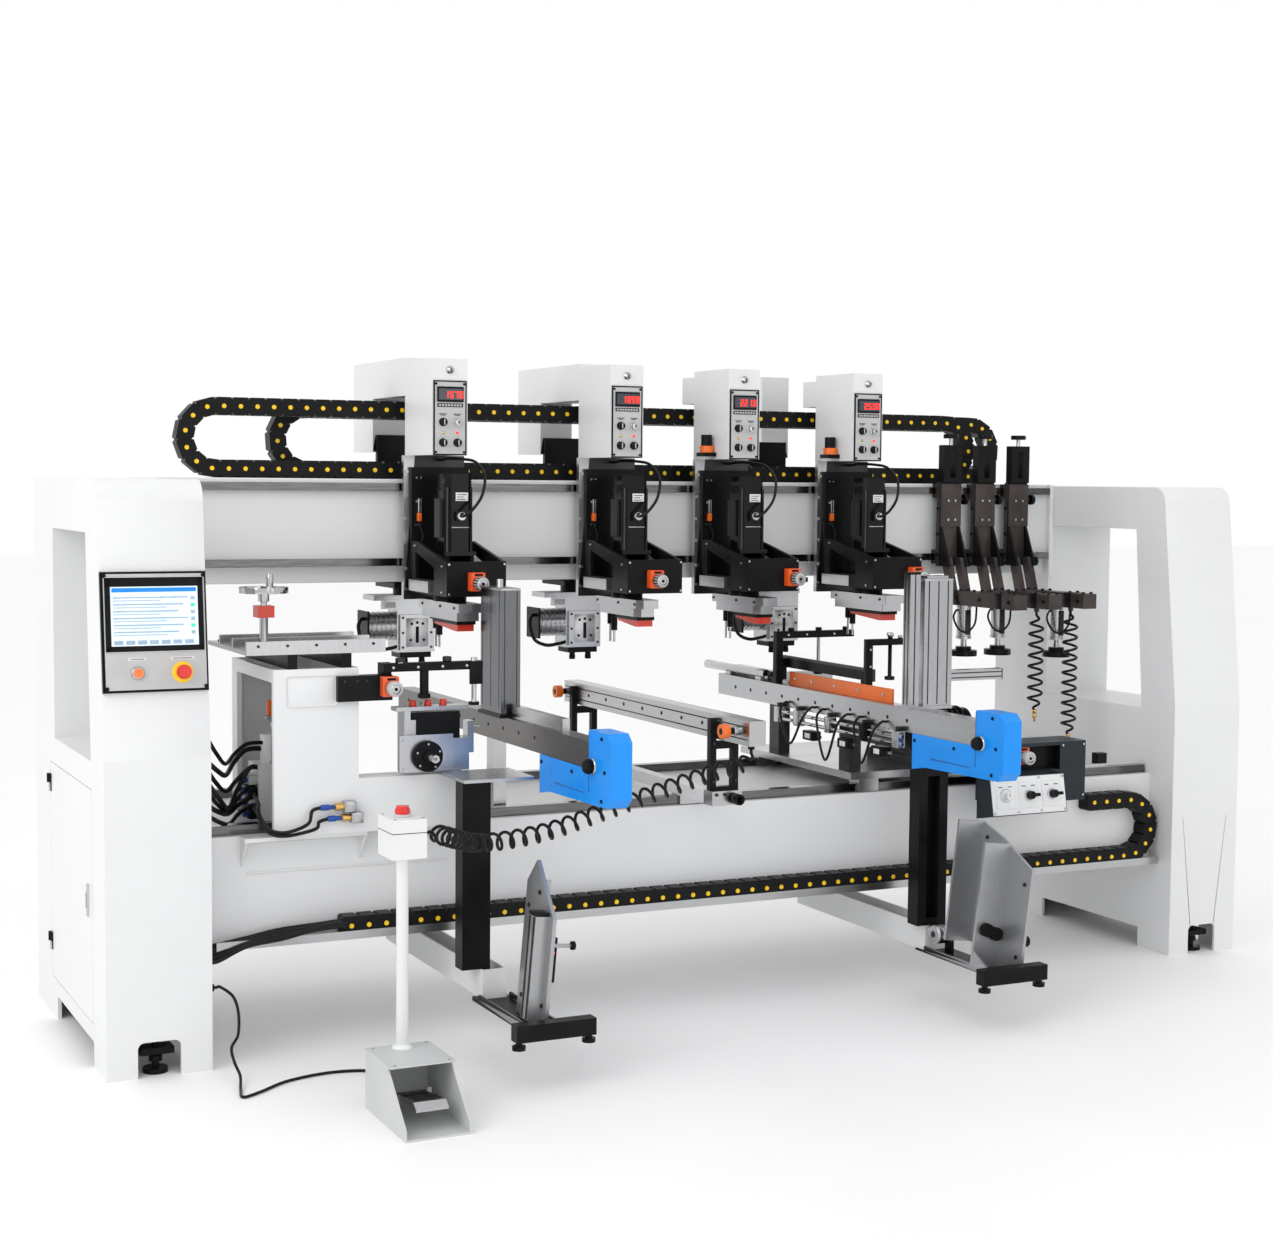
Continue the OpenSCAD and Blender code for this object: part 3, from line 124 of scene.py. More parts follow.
def add(tree: bpy.types.NodeTree, kind: str, values: Optional[dict] = None) -> bpy.types.Node:
    """Adds a node to a tree.

    Args:
        tree: tree that takes the node.
        kind: type of the node.
        values: values of its inputs, by name or number.

    Returns:
        The new node.
    """
    node = tree.nodes.new(kind)
    for name, value in (values or {}).items():
        node.inputs[name].default_value = value
    return node


def link(tree: bpy.types.NodeTree, source: bpy.types.Node, out: str, target: bpy.types.Node, into: str) -> None:
    """Joins an output of one node to an input of another."""
    tree.links.new(source.outputs[out], target.inputs[into])


def place_object(name: str, data: bpy.types.ID) -> bpy.types.Object:
    """Makes an object of a mesh, lamp or camera and puts it in the scene."""
    obj = bpy.data.objects.new(name, data)
    bpy.context.scene.collection.objects.link(obj)
    return obj


class Axis(Enum):
    """Direction along which something is turned, stands out or is brushed."""

    X = (1.0, 0.0, 0.0)
    Y = (0.0, 1.0, 0.0)
    Z = (0.0, 0.0, 1.0)
    LEFT = (-1.0, 0.0, 0.0)
    FRONT = (0.0, -1.0, 0.0)
    DOWN = (0.0, 0.0, -1.0)

    def vector(self) -> Vector:
        """Gives the direction as a vector."""
        return Vector(self.value)


@dataclass(frozen=True)
class Finish:
    """Surface finish with colour drift, gloss drift and fine relief.

    Args:
        name: plain name of the finish.
        colour: base colour, linear.
        roughness: middle roughness.
        metallic: 1 for bare metal.
        drift: how far the colour wanders, as a share.
        cloud: size of the wandering, per metre.
        grain: size of the relief, per metre.
        relief: strength of the relief.
        brushed: direction of brush marks, if any.
        coat: clear coat weight.
        glow: light given off, for lamps and screens.
        shine: specular level.
    """

    name: str
    colour: Point
    roughness: float
    metallic: float = 0.0
    drift: float = 0.06
    cloud: float = 5.0
    grain: float = 700.0
    relief: float = 0.08
    brushed: Optional[Axis] = None
    coat: float = 0.0
    glow: float = 0.0
    shine: float = 0.5

    def material(self) -> bpy.types.Material:
        """Makes the material once and returns it after that.

        Returns:
            The node material of this finish.
        """
        known = bpy.data.materials.get(self.name)
        if known is not None:
            return known
        mat = bpy.data.materials.new(self.name)
        mat.use_nodes = True
        mat.diffuse_color = (*self.colour, 1.0)
        tree = mat.node_tree
        shader = tree.nodes["Principled BSDF"]
        for name, value in (("Metallic", self.metallic), ("Specular IOR Level", self.shine),
                            ("Coat Weight", self.coat), ("Coat Roughness", COAT_ROUGHNESS)):
            shader.inputs[name].default_value = value
        along = self.brushed.value if self.brushed else ORIGIN
        stretch = add(tree, "ShaderNodeMapping", {"Scale": tuple(BRUSH_STRETCH if c else 1.0 for c in along)})
        link(tree, add(tree, "ShaderNodeTexCoord"), "Object", stretch, "Vector")
        clouds = add(tree, "ShaderNodeTexNoise", {"Scale": self.cloud, "Detail": 4.0})
        fine = add(tree, "ShaderNodeTexNoise", {"Scale": self.grain, "Detail": 3.0})
        for noise in (clouds, fine):
            link(tree, stretch, "Vector", noise, "Vector")
        self._colour(tree, shader, fine if self.brushed else clouds)
        gloss = add(tree, "ShaderNodeMapRange", {
            "From Min": 0.25, "From Max": 0.75, "To Min": max(0.03, self.roughness * (1.0 - GLOSS_DRIFT)),
            "To Max": min(1.0, self.roughness * (1.0 + GLOSS_DRIFT))})
        link(tree, clouds, "Fac", gloss, "Value")
        link(tree, gloss, "Result", shader, "Roughness")
        bump = add(tree, "ShaderNodeBump", {"Strength": self.relief, "Distance": RELIEF_DEPTH})
        link(tree, fine, "Fac", bump, "Height")
        link(tree, bump, "Normal", shader, "Normal")
        return mat

    def _colour(self, tree: bpy.types.NodeTree, shader: bpy.types.Node, pattern: bpy.types.Node) -> None:
        """Lets the colour wander between a darker and a paler tone.

        Args:
            tree: tree that takes the nodes.
            shader: surface shader.
            pattern: noise that the colour follows.
        """
        ramp = tree.nodes.new("ShaderNodeValToRGB")
        tones = (1.0 - self.drift, 1.0 + self.drift)
        for end, place, share in zip(ramp.color_ramp.elements, TONE_PLACES, tones):
            end.position = place
            end.color = (*(min(1.0, c * share) for c in self.colour), 1.0)
        link(tree, pattern, "Fac", ramp, "Fac")
        link(tree, ramp, "Color", shader, "Base Color")
        if self.glow:
            link(tree, ramp, "Color", shader, "Emission Color")
            shader.inputs["Emission Strength"].default_value = self.glow


WHITE = Finish("white_powder_coat", (0.765, 0.77, 0.775), 0.36, drift=0.02, cloud=3.0, grain=420.0, relief=0.05,
               shine=0.35)
BLACK = Finish("black_enamel", (0.008, 0.008, 0.009), 0.3, drift=0.25, cloud=9.0, grain=600.0, relief=0.06, shine=0.1)
GLOSS_BLACK = Finish("gloss_black_cast", (0.006, 0.006, 0.007), 0.14, drift=0.2, cloud=8.0, grain=350.0, relief=0.05,
                     coat=0.08, shine=0.16)
BROWN_STEEL = Finish("dark_oiled_plate", (0.06, 0.05, 0.046), 0.34, 0.35, drift=0.25, cloud=12.0, shine=0.25)
ALUMINIUM = Finish("milled_aluminium", (0.46, 0.465, 0.475), 0.26, 1.0, drift=0.07, grain=520.0, relief=0.01,
                   brushed=Axis.Y)
ALUMINIUM_X = Finish("milled_aluminium_along", (0.46, 0.465, 0.475), 0.26, 1.0, drift=0.07, grain=520.0, relief=0.01,
                     brushed=Axis.X)
STEEL = Finish("ground_plate", (0.46, 0.46, 0.47), 0.26, 1.0, drift=0.07, grain=520.0, relief=0.015, brushed=Axis.Z)
# Painted shade: the same extruded aluminium as the posts on the moving table, given a much darker base so the left post
# looks as dark as it does where it stands.
SHADED_PROFILE = Finish("shaded_extruded_profile", (0.13, 0.134, 0.143), 0.2, 1.0, drift=0.12, grain=420.0, relief=0.03,
                 brushed=Axis.Z)
PLATE = Finish("rolled_plate", (0.4, 0.405, 0.415), 0.32, 0.75, drift=0.07, grain=480.0, relief=0.04, brushed=Axis.Z)
POST = Finish("extruded_post", (0.42, 0.425, 0.44), 0.2, 1.0, drift=0.09, grain=420.0, relief=0.03, brushed=Axis.Z)
RAIL = Finish("ground_rail", (0.14, 0.136, 0.136), 0.14, 1.0, drift=0.25, grain=260.0, relief=0.03, brushed=Axis.X)
DARK_STEEL = Finish("dark_blued_plate", (0.05, 0.049, 0.048), 0.34, 1.0, drift=0.2, cloud=14.0, relief=0.07)
CHAIN = Finish("chain_nylon", (0.009, 0.009, 0.01), 0.4, drift=0.3, cloud=20.0, grain=900.0, relief=0.12, shine=0.12)
RUBBER = Finish("hose_rubber", (0.008, 0.008, 0.009), 0.34, drift=0.25, cloud=24.0, grain=1200.0, relief=0.1, shine=0.2)
SLATE = Finish("slate_enamel", (0.026, 0.033, 0.041), 0.35, drift=0.15, cloud=7.0, grain=500.0, relief=0.07, shine=0.15)
RED = Finish("stop_red", (0.72, 0.012, 0.01), 0.24, drift=0.08, cloud=30.0, grain=1500.0, relief=0.03, coat=0.3)
BLUE = Finish("cap_blue", (0.004, 0.27, 0.85), 0.3, cloud=8.0, relief=0.05, coat=0.1, shine=0.3)
ORANGE = Finish("guard_orange", (0.85, 0.1, 0.012), 0.34, drift=0.08, cloud=12.0, grain=900.0, relief=0.05)
YELLOW = Finish("dot_yellow", (1.0, 0.6, 0.005), 0.35, cloud=40.0, grain=1500.0, relief=0.04)
GREY = Finish("light_grey_foil", (0.5, 0.5, 0.5), 0.45, drift=0.05, cloud=16.0, grain=1500.0, relief=0.04)
CHROME = Finish("chrome", (0.48, 0.48, 0.49), 0.1, 1.0, cloud=20.0, relief=0.02)
BRASS = Finish("brass", (0.72, 0.45, 0.14), 0.25, 1.0, drift=0.12, cloud=30.0, relief=0.05)
SCREEN = Finish("screen_glass", (0.02, 0.03, 0.045), 0.12, drift=0.3, cloud=6.0, relief=0.01, coat=0.6)
LED_RED = Finish("led_red", (0.9, 0.02, 0.01), 0.3, drift=0.1, cloud=60.0, glow=2.0)
LED_GREEN = Finish("led_green", (0.02, 0.75, 0.2), 0.3, drift=0.1, cloud=60.0, glow=1.6)
SLEEVE_BLUE = Finish("sleeve_blue", (0.01, 0.06, 0.32), 0.4, drift=0.15, cloud=30.0, grain=1200.0, relief=0.06)
GUARD_RED = Finish("guard_red", (0.62, 0.035, 0.012), 0.3, drift=0.1, cloud=14.0, grain=900.0, relief=0.05, coat=0.2)
SAFETY_ORANGE = Finish("safety_orange", (0.86, 0.16, 0.01), 0.34, drift=0.07, cloud=14.0, grain=900.0, relief=0.05)
LABEL = Finish("label_film", (0.72, 0.73, 0.72), 0.4, drift=0.04, cloud=40.0, grain=1500.0, relief=0.03)
# Painted shade: the left panel bar is the same milled aluminium as the middle and right bars, given a dark grey-brown
# base to match how dark it looks.
SHADED_BAR = Finish("shaded_grey_brown_bar", (0.15, 0.142, 0.137), 0.3, 0.85, drift=0.12, grain=500.0, relief=0.05,
                   brushed=Axis.Y)
HOOD_GREY = Finish("hood_grey", (0.56, 0.57, 0.57), 0.42, drift=0.04, cloud=6.0, grain=500.0, relief=0.06)
LIT_ORANGE = Finish("lit_orange", (0.95, 0.13, 0.02), 0.25, drift=0.1, cloud=60.0, glow=0.5, coat=0.3)
SCREEN_LIT = Finish("screen_lit", (0.62, 0.72, 0.8), 0.2, drift=0.08, cloud=9.0, glow=0.35, coat=0.4)
SCREEN_MARK = Finish("screen_mark", (0.3, 0.42, 0.55), 0.3, drift=0.12, cloud=60.0, glow=0.15)
FLOOR = Finish("studio_floor", (0.95, 0.95, 0.95), 0.6, drift=0.01, cloud=1.0, grain=200.0, relief=0.01)

# A finish with the limits along X, Y and Z that it fills.
Region = tuple[Finish, Pair, Pair, Pair]


def paint(node: str, finish: Finish, regions: Sequence[Region] = (), edge: float = 0.0, at: Point = ORIGIN) -> None:
    """Gives a solid its finishes and, if asked, soft edges.

    Args:
        node: name of the solid.
        finish: finish of the whole solid.
        regions: parts with another finish, later ones win.
        edge: width of the softened edges in millimetres.
        at: place that the regions are measured from.
    """
    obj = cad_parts[node]
    obj.data.materials.clear()
    for one in [finish] + [region[0] for region in regions]:
        obj.data.materials.append(one.material())
    boxes = [[spot(*(span[end] + start for span, start in zip(region[1:], at))) for end in (0, 1)]
             for region in regions]
    for poly in obj.data.polygons:
        poly.material_index = 0
        for i, (low, high) in enumerate(boxes, 1):
            if all(low[k] <= poly.center[k] <= high[k] for k in range(3)):
                poly.material_index = i
    if edge:
        weld = obj.modifiers.new("weld", "WELD")
        weld.merge_threshold = WELD_REACH
        soft = obj.modifiers.new("soft_edge", "BEVEL")
        soft.width = edge / PER_METRE
        soft.segments = 2
        soft.limit_method = "ANGLE"
        soft.angle_limit = SOFT_EDGE
        soft.harden_normals = False
    log.info("painted %s", node)


class Piece:
    """Mesh under construction, with a finish on each face, measured in millimetres."""

    def __init__(self, name: str, at: Point = ORIGIN, turn: Optional[Matrix] = None) -> None:
        """Starts an empty piece.

        Args:
            name: name of the finished object.
            at: place that its forms are measured from.
            turn: matrix in metres that stands each form in its place.
        """
        self.name, self.at, self.turn = name, at, turn
        self.mesh = bmesh.new()
        self.finishes: list[Finish] = []

    def _spot(self, point: Point) -> Vector:
        """Places a point of the piece in the shared frame."""
        return spot(*(c + start for c, start in zip(point, self.at)))

    def _stand(self, verts: list[bmesh.types.BMVert]) -> None:
        """Turns new corners if the piece is turned."""
        if self.turn is not None:
            bmesh.ops.transform(self.mesh, matrix=self.turn, verts=verts)

    def _paint(self, faces: Iterable[bmesh.types.BMFace], finish: Finish) -> None:
        """Gives faces a finish."""
        if finish not in self.finishes:
            self.finishes.append(finish)
        for f in faces:
            f.material_index = self.finishes.index(finish)
            f.smooth = True

    def _skin(self, rings: list[list[bmesh.types.BMVert]], finish: Finish) -> None:
        """Joins rings of corners to a closed form."""
        sides = len(rings[0])
        faces = [self.mesh.faces.new((lower[k], lower[(k + 1) % sides], upper[(k + 1) % sides], upper[k]))
                 for lower, upper in zip(rings, rings[1:]) for k in range(sides)]
        faces.append(self.mesh.faces.new(list(reversed(rings[0]))))
        faces.append(self.mesh.faces.new(rings[-1]))
        self._paint(faces, finish)

    def block(self, x: Pair, y: Pair, z: Pair, finish: Finish, edge: float = 0.0) -> "Piece":
        """Adds a box with softened edges.

        Args:
            x: limits along X.
            y: limits along Y.
            z: limits along Z.
            finish: finish of the box.
            edge: width of the softened edges.

        Returns:
            This piece.
        """
        known = set(self.mesh.faces)
        corners = [self.mesh.verts.new(self._spot(p)) for p in grid(x, y, z)]
        faces = [self.mesh.faces.new([corners[i] for i in quad]) for quad in BOX_QUADS]
        self._stand(corners)
        if edge:
            edges = list({e for f in faces for e in f.edges})
            bmesh.ops.bevel(self.mesh, geom=edges, offset=edge / PER_METRE, segments=2, profile=0.5, affect="EDGES")
            faces = [f for f in self.mesh.faces if f not in known]
        self._paint(faces, finish)
        return self

    def turned(self, start: Point, axis: Axis, profile: Sequence[Pair], finish: Finish, sides: int = 28,
               flute: float = 0.0) -> "Piece":
        """Adds a turned form.

        Args:
            start: point on the axis where the profile starts.
            axis: direction of the form.
            profile: pairs of distance along the axis and radius.
            finish: finish of the form.
            sides: sides round the axis.
            flute: depth of the grip ribs, as a share of the radius.

        Returns:
            This piece.
        """
        along = axis.vector()
        side = Vector((1.0, 0.0, 0.0) if axis in (Axis.Z, Axis.DOWN) else (0.0, 0.0, 1.0))
        third = along.cross(side)
        rings = []
        for distance, radius in profile:
            centre = self._spot(start) + along * (distance / PER_METRE)
            ring = []
            for k in range(sides):
                a = math.tau * k / sides
                reach = radius / PER_METRE * (1.0 - flute * (k // 2 % 2))
                ring.append(self.mesh.verts.new(centre + (side * math.cos(a) + third * math.sin(a)) * reach))
            rings.append(ring)
        self._stand([v for ring in rings for v in ring])
        self._skin(rings, finish)
        return self

    def tube(self, path: Sequence[Vector], diameter: float, sides: int = 10) -> "Piece":
        """Adds a rubber tube along points.

        Args:
            path: points in metres.
            diameter: outer diameter in millimetres.
            sides: sides round the tube.

        Returns:
            This piece.
        """
        radius = diameter / 2.0 / PER_METRE
        side = Vector((0.31, 0.22, 0.93))
        rings = []
        for i, p in enumerate(path):
            ahead = (path[min(i + 1, len(path) - 1)] - path[max(i - 1, 0)]).normalized()
            side = (side - ahead * side.dot(ahead)).normalized()
            third = ahead.cross(side)
            rings.append([self.mesh.verts.new(p + (side * math.cos(a) + third * math.sin(a)) * radius)
                          for a in (math.tau * k / sides for k in range(sides))])
        self._skin(rings, RUBBER)
        return self

    def build(self, body: Optional[str]) -> bpy.types.Object:
        """Turns the mesh into an object that moves with a body.

        Args:
            body: name of the body, or None for a piece that is placed later.

        Returns:
            The finished object.
        """
        for e in self.mesh.edges:
            if len(e.link_faces) == 2 and e.calc_face_angle(0.0) > SHARP_EDGE:
                e.smooth = False
        data = bpy.data.meshes.new(self.name)
        self.mesh.to_mesh(data)
        self.mesh.free()
        for finish in self.finishes:
            data.materials.append(finish.material())
        obj = place_object(self.name, data)
        if body is not None:
            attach(obj, body)
        log.info("made %s", self.name)
        return obj


@dataclass
class Studs:
    """Like heads set on many points by one node tree, such as screws or link dots.

    Args:
        name: name of the finished object.
        body: body they move with.
        points: places in millimetres.
        axis: direction in which the heads stand out.
        radius: radius of a head in millimetres.
        height: height of a head in millimetres.
        finish: finish of the heads.
        sides: sides of a head.
    """

    name: str
    body: str
    points: list[Point]
    axis: Axis
    radius: float
    height: float
    finish: Finish
    sides: int

    def tree(self) -> bpy.types.NodeTree:
        """Builds the node tree that sets a head on every point.

        Returns:
            The node tree with its named inputs.
        """
        tree = bpy.data.node_groups.new(self.name + "_tree", "GeometryNodeTree")
        for name, way, kind in (("Geometry", "INPUT", "Geometry"), ("Head radius", "INPUT", "Float"),
                                ("Head height", "INPUT", "Float"), ("Head sides", "INPUT", "Int"),
                                ("Geometry", "OUTPUT", "Geometry")):
            tree.interface.new_socket(name, in_out=way, socket_type="NodeSocket" + kind)
        turns = {Axis.LEFT: (0.0, -math.pi / 2, 0.0), Axis.FRONT: (math.pi / 2, 0.0, 0.0), Axis.Z: ORIGIN}
        given = add(tree, "NodeGroupInput")
        rim = add(tree, "ShaderNodeMath", {1: HEAD_TAPER})
        rim.operation = "MULTIPLY"
        head = add(tree, "GeometryNodeMeshCone")
        place = add(tree, "GeometryNodeInstanceOnPoints", {"Rotation": turns[self.axis]})
        real = add(tree, "GeometryNodeRealizeInstances")
        dress = add(tree, "GeometryNodeSetMaterial", {"Material": self.finish.material()})
        link(tree, given, "Head radius", rim, 0)
        link(tree, given, "Head sides", head, "Vertices")
        link(tree, given, "Head radius", head, "Radius Bottom")
        link(tree, rim, 0, head, "Radius Top")
        link(tree, given, "Head height", head, "Depth")
        link(tree, given, "Geometry", place, "Points")
        link(tree, head, "Mesh", place, "Instance")
        link(tree, place, "Instances", real, "Geometry")
        link(tree, real, "Geometry", dress, "Geometry")
        link(tree, dress, "Geometry", add(tree, "NodeGroupOutput"), "Geometry")
        return tree

    def build(self) -> None:
        """Sets the heads and makes them a plain mesh on their body."""
        seeds = bpy.data.meshes.new(self.name + "_points")
        seeds.from_pydata([tuple(spot(*p)) for p in self.points], [], [])
        carrier = place_object(self.name + "_points", seeds)
        mod = carrier.modifiers.new("set_heads", "NODES")
        mod.node_group = self.tree()
        sizes = {"Head radius": self.radius / PER_METRE, "Head height": self.height / PER_METRE,
                 "Head sides": self.sides}
        for item in mod.node_group.interface.items_tree:
            if item.item_type == "SOCKET" and item.in_out == "INPUT" and item.name in sizes:
                mod[item.identifier] = sizes[item.name]
        bpy.context.view_layer.update()
        seen = carrier.evaluated_get(bpy.context.evaluated_depsgraph_get())
        obj = place_object(self.name, bpy.data.meshes.new_from_object(seen))
        bpy.data.objects.remove(carrier)
        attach(obj, self.body)
        log.info("set %d heads on %s", len(self.points), self.name)


def curve_through(points: Sequence[Vector], steps: int) -> list[Vector]:
    """Smooth line through given points.

    Args:
        points: the points in metres.
        steps: steps between two points.

    Returns:
        The points of the smooth line.
    """
    line = []
    for i in range(len(points) - 1):
        a, b = points[max(i - 1, 0)], points[i]
        c, d = points[i + 1], points[min(i + 2, len(points) - 1)]
        for j in range(steps):
            s = j / steps
            line.append(0.5 * (2 * b + (c - a) * s + (2 * a - 5 * b + 4 * c - d) * s * s
                               + (3 * b - a - 3 * c + d) * s * s * s))
    line.append(points[-1].copy())
    return line


@dataclass
class Cable:
    """Cable or hose that leaves one place of the machine and goes into another.

    Args:
        name: name of the finished object.
        body: body it moves with.
        points: places in millimetres.
        diameter: outer diameter in millimetres.
        lay: how it lies; not used.
        to_body: body at its far end, if that moves on its own.
        node: solid that it stands for, if any.
    """

    name: str
    body: str
    points: list[Point]
    diameter: float
    lay: str = "hanging"
    to_body: Optional[str] = None
    node: Optional[str] = None

    def build(self) -> None:
        path = curve_through([spot(*p) for p in self.points], CABLE_STEPS)
        obj = Piece(self.name).tube(path, self.diameter).build(None if self.to_body else self.body)
        if self.to_body:
            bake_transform(obj)
        if self.node:
            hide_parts(self.node)


@dataclass
class CurledHose:
    """Curled hose about a curved axis, with straight ends on the axis.

    Args:
        name: name of the finished object.
        node: solid that it stands for.
        axis: points of the axis in metres.
        turns: number of curls.
        radius: radius of the curls in millimetres.
        first: direction at the start.
        last: direction at the end.
        diameter: outer diameter in millimetres.
        per_turn: points in a curl.
    """

    name: str
    node: str
    axis: list[Vector]
    turns: int
    radius: float
    first: Vector
    last: Vector
    diameter: float = 10.0
    per_turn: int = 16

    def at(self, runs: Sequence[float], d: float) -> Vector:
        """Point of the axis at a length from its start."""
        k = max(i for i in range(len(self.axis) - 1) if runs[i] <= max(d, 0.0))
        share = (d - runs[k]) / (runs[k + 1] - runs[k])
        return self.axis[k] + (self.axis[k + 1] - self.axis[k]) * share

    def path(self) -> list[Vector]:
        """Line of the hose.

        Returns:
            The points of the line in metres.
        """
        runs = [0.0]
        for a, b in zip(self.axis, self.axis[1:]):
            runs.append(runs[-1] + (b - a).length)
        count = self.turns * self.per_turn
        line = [self.axis[0] - self.first * (self.diameter / PER_METRE)]
        for i in range(count + 1):
            d = i / count * runs[-1]
            ahead = (self.at(runs, d + CURL_LOOK) - self.at(runs, d - CURL_LOOK)).normalized()
            side = Vector((0.02, 1.0, 0.03))
            side = (side - ahead * side.dot(ahead)).normalized()
            swell = min(1.0, i / self.per_turn, self.turns - i / self.per_turn) * self.radius / PER_METRE
            a = math.tau * i / self.per_turn
            line.append(self.at(runs, d) + (side * math.cos(a) + ahead.cross(side) * math.sin(a)) * swell)
        line.append(line[-1] + self.last * (self.diameter / PER_METRE))
        return line

    def build(self, body: Optional[str], nipple: bool) -> tuple[bpy.types.Object, list[Vector]]:
        """Args:
            body: body it moves with, or None for a hose that runs between two bodies.
            nipple: whether its free lower end carries a coupling nipple.

        Returns:
            The finished object and its line.
        """
        path = self.path()
        obj = Piece(self.name).tube(path, self.diameter, 8).build(body)
        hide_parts(self.node)
        ends = []
        if nipple:
            foot = path[-1] * PER_METRE
            at = (foot.x + SHIFT_X, foot.y + SHIFT_Y, foot.z + 14.0)
            profile = ((0, 6.5), (2, 8.5), (14, 8.5), (15, 6), (20, 6), (21, 9), (30, 9), (31, 4.5), (44, 4.5), (46, 3))
            ends = [Piece(self.name + "_nipple").turned(at, Axis.DOWN, profile, BRASS, 16).build(body)]
        return obj, path


@dataclass
class Studio:
    """Pale floor, soft light and the camera.

    Args:
        eye: camera place in metres.
        azimuth: turn of the camera from +Y towards +X in degrees.
        pitch: downward tilt in degrees.
        roll: roll in degrees.
        focal: focal length in pixels of the photograph's width.
        width: pixels of the photograph's width.
        lamp_size: size of the lamps in metres.
        reach: reach of the floor in metres.
    """

    eye: Point = (-3.2825, -6.126, 1.757)
    azimuth: float = 25.98
    pitch: float = 3.86
    roll: float = 0.509
    focal: float = 2036.7
    width: float = 1273.0
    lamp_size: float = 5.0
    reach: float = 40.0

    def camera(self) -> None:
        """Sets the camera as the photograph's."""
        a, p, r = (math.radians(v) for v in (self.azimuth, self.pitch, self.roll))
        ahead = Vector((math.sin(a) * math.cos(p), math.cos(a) * math.cos(p), -math.sin(p)))
        right = Vector((math.cos(a), -math.sin(a), 0.0))
        up = right.cross(ahead)
        across = right * math.cos(r) + up * math.sin(r)
        above = up * math.cos(r) - right * math.sin(r)
        lens = bpy.data.cameras.new("camera")
        lens.sensor_width = 36.0
        lens.sensor_fit = "HORIZONTAL"
        lens.lens = lens.sensor_width * self.focal / self.width
        lens.clip_end = 100.0
        cam = place_object("camera", lens)
        turn = Matrix((across, above, -ahead)).transposed()
        cam.matrix_world = Matrix.Translation(Vector(self.eye)) @ turn.to_4x4()
        bpy.context.scene.camera = cam

    def light(self) -> None:
        """Sets large soft lamps and a pale surround."""
        scene = bpy.context.scene
        scene.view_settings.view_transform = "Standard"
        scene.world = bpy.data.worlds.new("surround")
        scene.world.use_nodes = True
        sky = scene.world.node_tree.nodes["Background"]
        sky.inputs["Color"].default_value = (1.0, 1.0, 1.0, 1.0)
        sky.inputs["Strength"].default_value = 1.0
        aim = Vector((0.0, 0.0, 0.9))
        for name, place, power in (("key", (-7.0, -3.0, 5.0), 170.0), ("fill", (1.0, -8.5, 1.6), 45.0)):
            lamp = bpy.data.lights.new(name, "AREA")
            lamp.size = self.lamp_size
            lamp.energy = power
            obj = place_object(name, lamp)
            obj.location = place
            obj.rotation_euler = (aim - Vector(place)).to_track_quat("-Z", "Y").to_euler()

    def floor(self) -> None:
        """Lays the floor."""
        r = self.reach
        data = bpy.data.meshes.new("floor")
        data.from_pydata([(-r, -r, 0), (r, -r, 0), (r, r, 0), (-r, r, 0)], [], [(0, 1, 2, 3)])
        data.materials.append(FLOOR.material())
        place_object("floor", data)

    def build(self) -> None:
        """Makes the whole studio."""
        self.camera()
        self.light()
        self.floor()


@dataclass(kw_only=True)
class Assembly:
    """Fittings of a sub-assembly, which ride one body and are measured from one place.

    Args:
        body: body that they ride.
        at: place that they are measured from, in millimetres.
    """

    body: str = "frame"
    at: Point = ORIGIN

    def _placed(self, points: Iterable[Point]) -> list[Point]:
        """Moves points to the place of the assembly."""
        return [tuple(c + start for c, start in zip(p, self.at)) for p in points]

    def piece(self, name: str) -> Piece:
        """Starts a piece at this place."""
        return Piece(name, self.at)

    def paint(self, node: str, finish: Finish, regions: Sequence[Region] = (), edge: float = 0.0) -> None:
        """Finishes a solid, with regions measured from this place."""
        paint(node, finish, regions, edge, self.at)

    def studs(self, name: str, points: Iterable[Point], axis: Axis, radius: float, height: float, finish: Finish,
              sides: int = 8, body: Optional[str] = None) -> None:
        """Sets heads on points; see Studs."""
        Studs(name, body or self.body, self._placed(points), axis, radius, height, finish, sides).build()

    def cable(self, name: str, points: Iterable[Point], diameter: float, lay: str = "hanging",
              body: Optional[str] = None, to_body: Optional[str] = None, node: Optional[str] = None) -> None:
        """Lays a cable through points; see Cable."""
        Cable(name, body or self.body, self._placed(points), diameter, lay, to_body, node).build()


